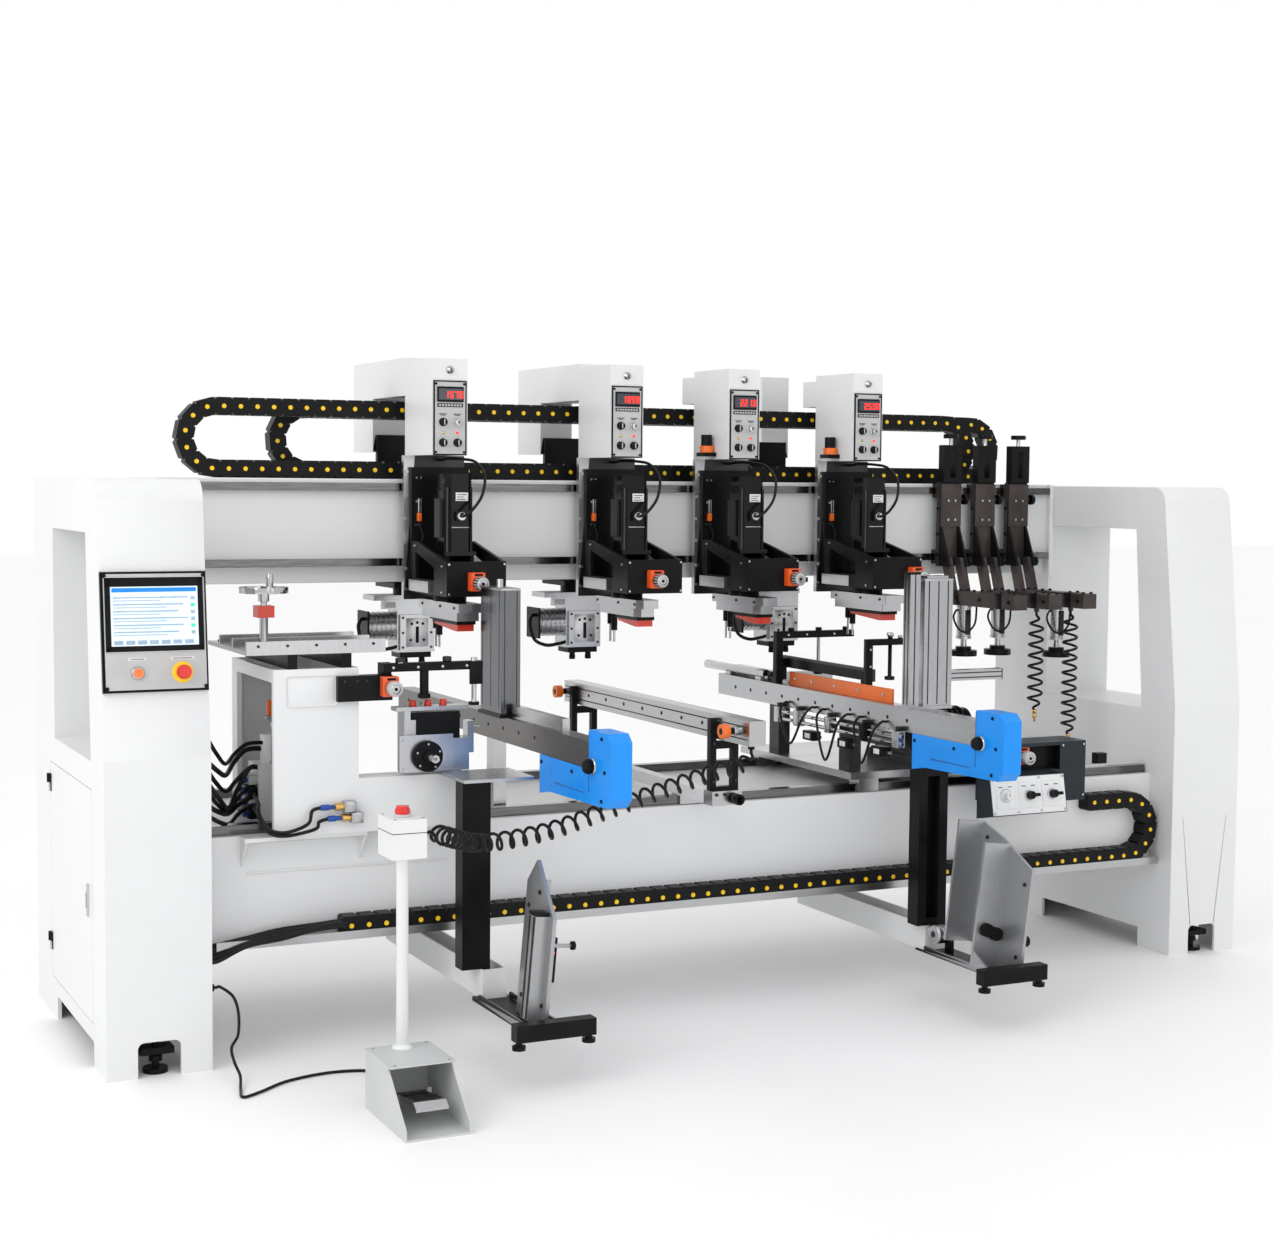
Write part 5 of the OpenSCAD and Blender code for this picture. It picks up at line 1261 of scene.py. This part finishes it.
@dataclass
class LeftTable(Assembly):
    """Table plate, panel bar and boring unit on the left block."""

    def table(self) -> None:
        """Finishes the plate, the bar and the clamps."""
        b, w = LEFT_BAR, WORK
        self.paint("left_table", STEEL, [
            # The left post takes the darker profile finish, which is painted shade.
            (SHADED_PROFILE, (b - 22, b + 48), (84, 263), (w + 11, w + 413)),
            (BLACK, (b - 28, b + 62), (76, 271), (w + 0.5, w + 12.2)), *BarCap.regions(b),
            # The left panel bar is darkened to a grey-brown: painted shade.
            (SHADED_BAR, (b - 2, b + 62), (-549, 1130), (919, w + 0.5)),
            (ALUMINIUM, (b + 9, b + 36), (-335, 65), (w + 0.2, w + 45)),
            (BLACK, (555, 765), (58, 545), (1180, 1224.6)), (GUARD_RED, (499, 553), (170, 230), (1329, 1367)),
            (BLACK, (849, 1176), (19, 49), (1165, 1193)), (BLACK, (849, 885), (47, 82), (1099, 1193)),
            (BLACK, (709, 885), (37, 82), (1077, 1157)), (BLACK, (1130, 1166), (12, 48), (1053, 1064.5)),
            (GREY, (842, 896), (-40, 37.8), (1090, 1154)), (CHROME, (1138, 1158), (20, 40), (1064.5, 1165)),
        ], 1.5)

    def fittings(self) -> None:
        """Indicator, cap, bores, grooves and screws of the table."""
        Dial("dial_left", at=(844.0, 38.0, 1092.0)).build()
        BarCap("left_cap_knob", at=(LEFT_BAR, 0.0, 0.0)).build()
        bores = grid((LEFT_BAR,), [-140 + 128 * i for i in range(10)], (964,))
        self.studs("left_bar_holes", bores, Axis.LEFT, 6.0, 1.2, BLACK, 14)
        piece = Piece("left_profile_grooves", (LEFT_BAR, 0.0, WORK))
        for y in (104, 174, 244):
            piece.block((-20.6, -19.6), (y - 1.5, y + 1.5), (30, 404), DARK_STEEL)
        for x in (-8, 34):
            piece.block((x - 1.5, x + 1.5), (85.4, 86.4), (30, 404), DARK_STEEL)
        piece.block((-20.8, 46.8), (85.2, 261.8), (405, 412.6), STEEL, 2.0)
        piece.build("frame")
        self.studs("table_bolts", grid((460, 845), (130, 300, 470), (1238,)), Axis.Z, 8.0, 6.0, DARK_STEEL, 6)
        front = grid((470, 560, 650, 740, 830), (60,), (1252,)) + grid((730, 770, 800), (38,), (1140,))
        self.studs("table_front_screws", front, Axis.FRONT, 5.0, 4.0, DARK_STEEL)
        self.studs("clamp_screws", grid((880, 960, 1040, 1120), (20,), (1179,)), Axis.FRONT, 5.0, 3.0, STEEL)

    def drill(self) -> None:
        """Finishes and dresses the horizontal boring unit."""
        self.paint("left_drill_unit", ALUMINIUM, [
            (STEEL, (904, 1082), (33, 46.5), (840, 967)), (BLACK, (940, 1046), (14, 33.8), (850, 952)),
            (BLACK, (944.5, 1111), (51, 105), (950.2, 1035)), (STEEL, (899, 1140), (49, 101), (1039.6, 1053)),
            (GUARD_RED, (945, 1075), (60, 82), (1052.4, 1073)), (CHROME, (960, 1020), (-72, -4), (880, 920)),
        ], 1.5)
        piece = Piece("left_drill_face")
        face = ((0, 44), (1.5, 46), (2, 34), (3.5, 34), (4, 20), (16, 19), (17, 15))
        piece.turned((993, 16, 900), Axis.FRONT, face, BLACK, 36)
        for x in (960, 1010, 1060):
            piece.turned((x, 70, 1052), Axis.Z, ((0, 12), (2, 12.6), (16, 10.6), (20.4, 6)), GUARD_RED, 20)
        piece.block((930, 962), (44.6, 46.2), (962, 1012), GREY, 0.4)
        piece.build("left_drill")

    def drill_screws(self) -> None:
        """Screws round the face of the boring unit and on its plate."""
        heads = [(993 + 39 * math.cos(a), 14.5, 900 + 39 * math.sin(a)) for a in (0.4, 1.6, 2.8, 3.9, 5.3)]
        heads += grid((918, 1068), (34,), (862, 950))
        self.studs("left_drill_screws", heads, Axis.FRONT, 4.0, 3.5, STEEL, body="left_drill")

    def stops(self) -> None:
        """Posts and knobs of the clamp over the boring unit."""
        stops = Piece("left_clamp_posts")
        post = ((0, 13), (2, 14), (70, 14), (72, 20), (84, 20), (86, 16))
        stops.turned((985, 34, 1166), Axis.DOWN, post, BLACK, 24)
        for x in (906, 1060):
            stops.turned((x, 34, 1192), Axis.Z, ((0, 12), (3, 15), (14, 15), (16, 11)), DARK_STEEL, 24, 0.06)
        stops.block((1128, 1170), (12, 20.5), (1120, 1192), BLACK, 2.0)
        stops.build("frame")

    def build(self) -> None:
        """Finishes the table, the boring unit and the handwheel."""
        self.table()
        self.fittings()
        self.drill()
        self.stops()
        self.drill_screws()
        paint("handwheel", CHROME, edge=1.5)
        hub = Piece("wheel_hub")
        hub.turned((526, 200, 1413), Axis.Z, ((0, 16), (3, 15), (5, 9), (9, 9), (10, 6)), DARK_STEEL, 24)
        hub.turned((526, 134, 1424), Axis.Z, ((0, 8), (4, 10.6), (30, 11.4), (40, 9), (42.6, 5)), STEEL, 24)
        hub.build("wheel")


@dataclass
class MiddleSupport(Assembly):
    """Bar on two posts in the middle, measured from the middle of the bar."""

    body: str = "middle"
    at: Point = (MIDDLE_X, 0.0, 0.0)

    def build(self) -> None:
        """Finishes and dresses the support."""
        front, rear = (-240, -180), (1080, 1140)
        knob, collar, level = (-90, -60), (-62, -45), (935, 990)
        self.paint("middle_support", ALUMINIUM, [
            (WHITE, (-53, -11), (-34.8, 1081), (705, 747)), (STEEL, (-57, 56), (-96, -34.8), (700, 751)),
            (BLACK, (-53, 53), (-73, -47), (750.4, 992)), (BLACK, (-53, 53), (1029, 1055), (750.4, 992)),
            (ALUMINIUM, (-31, 31), (-300, 1151), (919, 1001)), (BLACK, (6, 46), (-135, -95.4), (705, 745)),
            (SAFETY_ORANGE, knob, front, level), (SAFETY_ORANGE, knob, rear, level), (BLACK, collar, front, level),
            (BLACK, collar, rear, level), (BLACK, (-14, 14), (-264, -236), (904, 919.6)),
        ], 1.5)
        piece = self.piece("middle_knobs")
        for y in (-206, 1110):
            grip = ((0, 20), (1, 22.6), (22, 22.6), (26.8, 16), (27, 11))
            piece.turned((-61, y, 962), Axis.LEFT, grip, SAFETY_ORANGE, 42, 0.08)
            piece.turned((-87.6, y, 962), Axis.LEFT, ((0, 10.5), (0.8, 10.5)), BLACK, 20)
        piece.turned((26, -104, 724), Axis.FRONT, ((0, 16), (1, 18.4), (22, 18.4), (30, 12)), BLACK, 36, 0.1)
        for z in (940, 980):
            piece.block((-30.6, -29.6), (-280, 1140), (z - 2, z + 2), DARK_STEEL)
        piece.build(self.body)
        bores = grid((-30,), [-120 + 150 * i for i in range(8)], (962,))
        self.studs("middle_holes", bores, Axis.LEFT, 7.0, 1.2, BLACK, 14)
        bolts = grid((-40, -10), (-95,), (739,)) + grid((-41, 41), (-72,), (780, 905))
        self.studs("middle_bolts", bolts, Axis.FRONT, 6.0, 5.0, DARK_STEEL)


@dataclass
class RightTable(Assembly):
    """Moving table with its bar, fence, clamps and boring unit, measured from the left side of the bar."""

    body: str = "right_carriage"
    at: Point = (RIGHT_BAR, 0.0, 0.0)

    def table(self) -> None:
        """Finishes the solids of the table."""
        w = WORK
        self.paint("right_table", ALUMINIUM, [
            *BarCap.regions(0.0), (SAFETY_ORANGE, (39, 49), (3, 705), (w + 0.2, w + 49)),
            (BROWN_STEEL, (71, 85), (178, 814), (w + 55, w + 101)),
            (BLACK, (47, 73), (198, 802), (w + 9, w + 91)), (BLACK, (-1, 341), (733, 761), (w + 169, w + 209)),
            (BLACK, (-1, 29), (733, 761), (w + 0.5, w + 170)), (BLACK, (172, 208), (729, 765), (w + 29, w + 44.5)),
            (DARK_STEEL, (-42, 642), (200, 1000), (700, 918)), (ALUMINIUM_X, (-42, 642), (200, 1000), (700, 765)),
            (STEEL, (55, 302), (818, 1182), (w, w + 35)), (CHROME, (12, 48), (859, 1341), (w + 6, w + 42)),
            (POST, (-29, 146), (-205, -125), (w + 0.5, w + 462)),
        ], 1.5)
        BarCap("right_cap_knob", body=self.body, at=self.at).build()
        bores = grid((0,), [-150 + 120 * i for i in range(11)], (958,))
        self.studs("right_bar_holes", bores, Axis.LEFT, 7.0, 1.2, BLACK, 14)

    def clamps(self) -> None:
        """Front clamp with its pad and knobs."""
        w = WORK
        piece = self.piece("front_clamp")
        piece.block((48, 72), (178, 204), (w, w + 184), BLACK, 2.0)
        piece.block((48, 214), (178, 204), (w + 184, w + 206), BLACK, 2.0)
        piece.turned((150, 191, w + 60), Axis.Z, ((0, 17), (2, 18), (12, 18), (14, 7), (140, 7)), RUBBER, 24)
        piece.turned((150, 191, w + 206), Axis.Z, ((0, 9), (8, 9), (9, 13), (20, 13), (22, 9)), STEEL, 24, 0.08)
        piece.turned((192, 191, w + 206), Axis.Z, ((0, 9), (10, 9), (12, 6)), STEEL, 6)
        piece.build(self.body)

    def screws(self) -> None:
        """Screws of the clamps and of the fence."""
        w = WORK
        bolts = grid((50, 130, 250), (734,), (w + 183,)) + grid((60,), (178,), (w + 40, w + 110, w + 170))
        self.studs("right_clamp_screws", bolts, Axis.FRONT, 5.0, 3.5, STEEL)
        self.studs("fence_screws", grid((40,), (60, 220, 380, 540, 660), (w + 24,)), Axis.LEFT, 6.0, 3.0, STEEL, 10)

    def grooves(self) -> None:
        """Grooves and end caps of the upright profiles and the cross profile."""
        w = WORK
        piece = self.piece("right_profile_grooves")
        for y in (-190, -170):
            piece.block((-28.7, -27.6), (y - 2, y + 2), (w + 16, w + 454), DARK_STEEL)
        piece.block((-10, -6), (-200.7, -199.6), (w + 16, w + 454), DARK_STEEL)
        for x in (50, 88, 126):
            piece.block((x - 2, x + 2), (-196.7, -195.6), (w + 16, w + 430), DARK_STEEL)
        for z in (w + 100, w + 116):
            piece.block((146, 358), (-186.7, -185.6), (z - 2, z + 2), DARK_STEEL)
        piece.block((-28.8, 12.8), (-200.8, -159.2), (w + 452, w + 460.6), BLACK, 2.0)
        piece.block((31.2, 145.8), (-196.8, -133.2), (w + 429, w + 437.6), STEEL, 2.0)
        piece.block((359.4, 363), (-187, -149), (w + 89, w + 127), BLACK, 1.0)
        piece.build(self.body)

    def underside(self) -> None:
        """Guide rods, brackets, small cylinders and leads beside and under the bar."""
        w = WORK
        piece = self.piece("under_bar")
        for z in (w - 122, w - 96):
            piece.turned((-16, -150, z), Axis.Y, ((0, 6), (1, 7), (829, 7), (830, 6)), CHROME, 16)
        for y, finish in ((-140, STEEL), (70, BLACK), (300, STEEL), (520, STEEL), (660, STEEL)):
            piece.block((-32, 1), (y, y + 34), (w - 136, w - 78), finish, 3.0)
            piece.block((-24, 1), (y + 8, y + 26), (w - 80, w - 64), DARK_STEEL, 2.0)
        for y in (-60, 160, 400):
            piece.block((-40, -2), (y, y + 70), (w - 176, w - 142), BLACK, 3.0)
            piece.turned((-21, y - 26, w - 159), Axis.Y, ((0, 6), (26, 6), (27, 12), (34, 12)), STEEL, 16)
            piece.block((-41, -39.6), (y + 16, y + 52), (w - 168, w - 150), LABEL, 0.3)
        piece.build(self.body)
        for i, (y0, y1, low) in enumerate(((-20, 130, 790), (210, 380, 770), (450, 640, 800)), 1):
            self.cable("under_bar_lead_%d" % i, [
                (0, y0, w - 60), (-18, y0 + 2, w - 62), (-44, y0 + 16, w - 100), (-48, (y0 + y1) / 2, low),
                (-44, y1 - 16, w - 100), (-18, y1 - 2, w - 62), (0, y1, w - 60)], 9.0)

    def drill(self) -> None:
        """Finishes and dresses the boring unit behind the console."""
        self.paint("right_drill_unit", DARK_STEEL, [
            (ALUMINIUM, (239, 279.5), (249, 451), (830, 930)), (GLOSS_BLACK, (421, 585), (280, 420), (800, 960)),
            (CHROME, (210, 239.5), (255, 445), (860, 900))], 1.5)
        piece = self.piece("right_drill_fan")
        for i in range(6):
            piece.turned((432 + i * 22, 350, 868.3), Axis.X, ((0, 65), (1, 68), (7, 68), (8, 65)), GLOSS_BLACK, 32)
        piece.build("right_drill")

    def build(self) -> None:
        """Finishes and dresses the moving table."""
        self.table()
        self.clamps()
        self.grooves()
        self.screws()
        self.underside()
        self.drill()


@dataclass
class Rests:
    """Hanging front rests on the left block and on the moving table.

    Args:
        left: place of the left stop plate.
        right: place of the right stop plates.
    """

    left: float = 1130.0
    right: float = 2750.0

    def left_rest(self) -> None:
        """Finishes the left rest and adds its cylinder, sensor and lever."""
        x = self.left
        paint("left_outrigger", BLACK, [
            (WHITE, (1109, 1191), (-151, 761), (164, 256)), (PLATE, (x - 40, x + 140), (-535, -315), (165.5, 645)),
            (STEEL, (1039, 1271), (-171, 119), (836, 850)),
        ], 1.5)
        piece = Piece("left_rest_fittings", turn=tilt((x, -440, 165), 5, "Y"))
        for y in ((-54, -46), (-22, -14)):
            piece.block((-24, -18), y, (20, 320), DARK_STEEL)
        for z in ((322, 334), (6, 18)):
            piece.block((-23, 21), (-61, -7), z, BLACK, 2.0)
        piece.block((31, 54), (-62, -8), (128, 262), BLACK, 3.0)
        for z, lamp in ((236, LED_GREEN), (216, LED_RED)):
            piece.turned((42, -62, z), Axis.FRONT, ((0, 4.5), (1.2, 4.5), (2, 3)), lamp, 12)
        piece.turned((92, -70, 240), Axis.X, ((0, 6), (2, 13), (12, 13), (14, 9)), BLACK, 24)
        piece.turned((60, 90, 150), Axis.X, ((0, 11), (2, 20), (14, 20), (17, 15)), BLACK, 28, 0.08)
        for y, z in ((90, 60), (90, 330), (-60, 60), (20, 380)):
            piece.turned((32, y, z), Axis.X, BOLT, DARK_STEEL, 6)
            piece.turned((20, y, z), Axis.LEFT, BOLT, DARK_STEEL, 6)
        piece.build("frame")

    def right_rest(self) -> None:
        """Finishes the right rest and adds its knobs and roller."""
        x = self.right
        paint("right_outrigger", BLACK, [
            (WHITE, (x - 1, x + 91), (-121, 741), (156.5, 247)),
            (PLATE, (x - 60, x + 170), (-545, -232), (157.5, 645)),
            (BLACK, (x + 16, x + 100), (-431, -410.3), (245, 310)),
            (BLACK, (x + 105, x + 160), (-515, -465), (228, 280)),
            (ALUMINIUM, (x - 9, x + 53), (-215, -145), (190, 262)),
        ], 1.5)
        piece = Piece("right_rest_fittings", turn=tilt((x + 10, -430, 158), 7, "Y"))
        for across, z in ((14, 130), (52, 118)):
            piece.turned((across, 0.4, z), Axis.Y, ((0, 17), (2, 22.4), (12, 22.4), (20, 16)), BLACK, 32, 0.08)
        lever = ((0, 9.4), (24, 9.4), (26, 18.4), (40, 18.4), (42.4, 13))
        piece.turned((86, -60, 110), Axis.X, lever, BLACK, 28, 0.08)
        for y, z in ((150, 100), (150, 420), (-80, 60), (-80, 300), (40, 380)):
            piece.turned((76, y, z), Axis.LEFT, BOLT, DARK_STEEL, 6)
            piece.turned((86, y, z), Axis.X, BOLT, DARK_STEEL, 6)
        piece.turn = None
        roller = ((0, 28), (1, 33.6), (30, 33.6), (31, 31), (34, 31), (35, 33.6), (61, 33.6), (62, 30))
        piece.turned((x - 9, -180, 226), Axis.X, roller, ALUMINIUM_X, 36)
        piece.turned((x - 8.6, -180, 226), Axis.LEFT, ((0, 12), (2, 12), (3, 9)), DARK_STEEL, 6)
        piece.build("right_carriage")

    def build(self) -> None:
        """Finishes and dresses both rests."""
        self.left_rest()
        self.right_rest()


@dataclass
class Console(Assembly):
    """Box with the sloping panel on the moving table, measured from the left side of the sloping box."""

    body: str = "right_carriage"
    at: Point = (CONSOLE[0], 0.0, 0.0)

    def panel(self) -> None:
        """Plates, selectors and screws of the sloping panel."""
        piece = Piece("console_panel", turn=tilt(CONSOLE, -11, "X"))
        piece.block((3, 315), (-1.6, 0.2), (-133, -3), WHITE, 0.6)
        for x in (60, 158, 256):
            piece.block((x - 41, x + 41), (-3.0, -1.2), (-114, -22), LABEL, 0.8)
            piece.block((x - 37, x + 37), (-3.4, -2.6), (-110, -26), WHITE, 0.5)
            for mark in (x - 20, x + 20):
                piece.block((mark - 9, mark + 9), (-3.8, -3.2), (-38, -35), SLATE)
        piece.turned((60, -3.2, -66), Axis.FRONT, ((0, 24), (3, 24), (4, 21), (5, 21)), CHROME, 36)
        piece.turned((60, -8, -66), Axis.FRONT, ((0, 20), (0.6, 20)), LABEL, 36)
        piece.turned((60, -8, -70), Axis.FRONT, ((0, 13.4), (8, 13.4), (20.4, 13), (20.8, 10)), LABEL)
        piece.block((58.8, 61.2), (-29.4, -28.4), (-70, -60), RED)
        for x in (158, 256):
            piece.turned((x, -3.2, -70), Axis.FRONT, ((0, 19), (3, 19), (4, 16), (8, 16)), STEEL, 32)
            piece.turned((x, -8, -70), Axis.FRONT, ((0, 14.6), (2, 15.4), (18, 14), (20.6, 11)), BLACK, 32, 0.06)
            piece.block((x + 2, x + 34), (-27, -15), (-76, -64), BLACK, 2.0)
        for corner in grid((10, 109, 207, 308), (-1.4,), (-126, -10)):
            piece.turned(corner, Axis.FRONT, ((0, 5), (2, 5), (3, 3)), STEEL, 12)
        piece.build(self.body)

    def build(self) -> None:
        """Finishes the console and adds its panel, indicator and screws."""
        self.paint("right_console", SLATE, [
            (BLACK, (91, 355), (-79.5, -39), (747, 834)), (GREY, (170, 235), (-115, -39), (768, 835)),
            (STEEL, (466, 643), (20, 48), (727, 741)), (BLACK, (600, 645), (14, 54), (741.5, 780)),
        ], 3.0)
        self.panel()
        Dial("dial_console", body=self.body, at=(self.at[0] + 177, -40.0, 770.0)).build()
        self.studs("console_screws", grid((366, 458), (-80,), (650, 832)), Axis.FRONT, 5.0, 3.5, STEEL, 10)


@dataclass
class PedalStand(Assembly):
    """Pedal hood, treadle, post, switch box and mushroom, measured from the foot of the post."""

    at: Point = STAND

    def build(self) -> None:
        """Finishes and dresses the stand."""
        self.paint("stop_stand", WHITE, [(BLACK, (50.2, 66), (0, 40), (740, 790))], 3.0)
        self.paint("pedal_hood", HOOD_GREY, [(BLACK, (-12, 12), (37, 52), (10, 40))], 1.5)
        paint("foot_pedal", STEEL)
        paint("stand_stop_button", RED, edge=2.0)
        piece = self.piece("stand_box_lid")
        piece.block((-50.6, 50.6), (-62.6, 62.6), (783, 785), SLATE, 0.3)
        piece.turned((0, 0, 822), Axis.Z, ((0, 24), (1, 25), (5, 25), (6, 22), (7.6, 22)), HOOD_GREY, 36)
        piece.turned((0, 0, 706), Axis.Z, ((0, 19), (1, 22), (6, 22)), WHITE)
        piece.turned((0, 0, 170), Axis.Z, ((0, 30), (2, 30), (8, 24), (12, 18)), WHITE)
        piece.build(self.body)
        screws = grid((-41, 41), (-53, 53), (822,)) + grid((-80, 78), (-165, 20), (170,))
        self.studs("stand_screws", screws, Axis.Z, 5.0, 2.4, STEEL, 12)
        ribs = self.piece("treadle_ribs")
        for i in range(6):
            ribs.block((-42, 38), (-215 + 26 * i, -209 + 26 * i), (85.4 - 4.2 * i, 87.4 - 4.2 * i), RUBBER, 0.6)
        ribs.build("pedal")


@dataclass
class OperatorPanel:
    """Leaning screen panel on the left column.

    Args:
        foot: lower left corner of the panel's back.
        lean: lean of the panel in degrees.
    """

    foot: Point = (2.0, 21.6, 1132.0)
    lean: float = 6.317

    def screen(self, piece: Piece) -> None:
        """Adds the frame and the generic picture of the screen.

        Args:
            piece: piece that takes them.
        """
        for x, z in (((10, 26), (118, 332)), ((279, 295), (118, 332)), ((10, 295), (306, 332)),
                     ((10, 295), (118, 134))):
            piece.block(x, (-22.8, -18), z, BLACK, 1.5)
        for z in (116.0, 332.6):
            piece.block((12, 293), (-22.0, -18), (z, z + 1.6), CHROME)
        piece.block((26, 279), (-21.2, -20.2), (134, 306), SCREEN_LIT)
        piece.block((30, 275), (-21.6, -21), (290, 302), BLUE)
        mark = (-21.5, -21)
        for row in range(6):
            z = 272 - 20 * row
            piece.block((34, 250 - 14 * (row % 3)), mark, (z, z + 4), SCREEN_MARK)
            piece.block((34, 170 + 18 * (row % 2)), mark, (z - 8, z - 5.5), SCREEN_MARK)
            piece.block((258, 270), mark, (z - 6, z + 4), LED_GREEN if row in (1, 4) else SCREEN_MARK)
        for i in range(7):
            piece.block((34 + 34 * i, 60 + 34 * i), mark, (138, 150), SCREEN_MARK)

    def build(self) -> None:
        """Finishes the panel and adds its face, screen, marks and collars."""
        for node, finish, edge in (("control_panel", BLACK, 1.5), ("panel_stop_button", RED, 2.0),
                                   ("panel_start_button", LIT_ORANGE, 1.0)):
            paint(node, finish, edge=edge)
        piece = Piece("panel_face", turn=tilt(self.foot, -self.lean, "X"))
        piece.block((7, 300), (-18.8, -17.6), (7, 343), GREY, 0.5)
        self.screen(piece)
        for corner in grid((10, 297), (-18,), (12, 338)):
            piece.turned(corner, Axis.FRONT, ((0, 6), (3, 6), (4, 4)), BLACK, 16)
        for x, wide in ((99, 26), (229, 34)):
            piece.block((x - wide, x + wide), (-19.4, -18.6), (92, 100), LABEL, 0.3)
            piece.block((x - wide + 6, x + wide - 6), (-19.7, -19.2), (95, 97), SLATE)
        piece.turned((229, -18.4, 55), Axis.FRONT, ((0, 31), (4, 30.4), (6.4, 26)), YELLOW, 40)
        piece.turned((99, -18.4, 55), Axis.FRONT, ((0, 19), (5, 19), (7, 16)), CHROME, 36)
        piece.build("frame")


def main() -> None:
    """Builds the whole scene in order and logs each piece."""
    logging.basicConfig(level=logging.INFO, format="%(name)s: %(message)s")
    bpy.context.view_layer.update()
    for part in (Studio(), Structure(), Hoses(), LeftTable(), MiddleSupport(), RightTable(), Rests(), Console()):
        part.build()
    for k, (x, dial) in enumerate(HEADS, 1):
        BoringHead(k, dial, body="slide_%d" % k, at=(x, 0.0, 0.0)).build()
        if k <= HEADS_WITH_UNIT:
            place = UnderUnit.place(x + UNDER_UNIT_OFFSET)
            UnderUnit("under_unit_%d" % k, body="carriage_%d" % k, at=place).build()
    rear = [(BLACK, (2500, 3000), (900, 1136), (1000, 1910)), *UnderUnit.regions(REAR_UNIT)]
    paint("rear_unit", WHITE, rear, 2.5)
    UnderUnit("rear_under_unit", body="rear_carriage", at=UnderUnit.place(REAR_UNIT)).build()
    for k, rod in enumerate(PRESSER_RODS, 1):
        place = (PRESSER_X + PRESSER_PITCH * (k - 1), 0.0, 0.0)
        Presser(k, rod, body="presser_%d" % k, at=place).build()
    PedalStand().build()
    OperatorPanel().build()


if __name__ == "__main__":
    main()
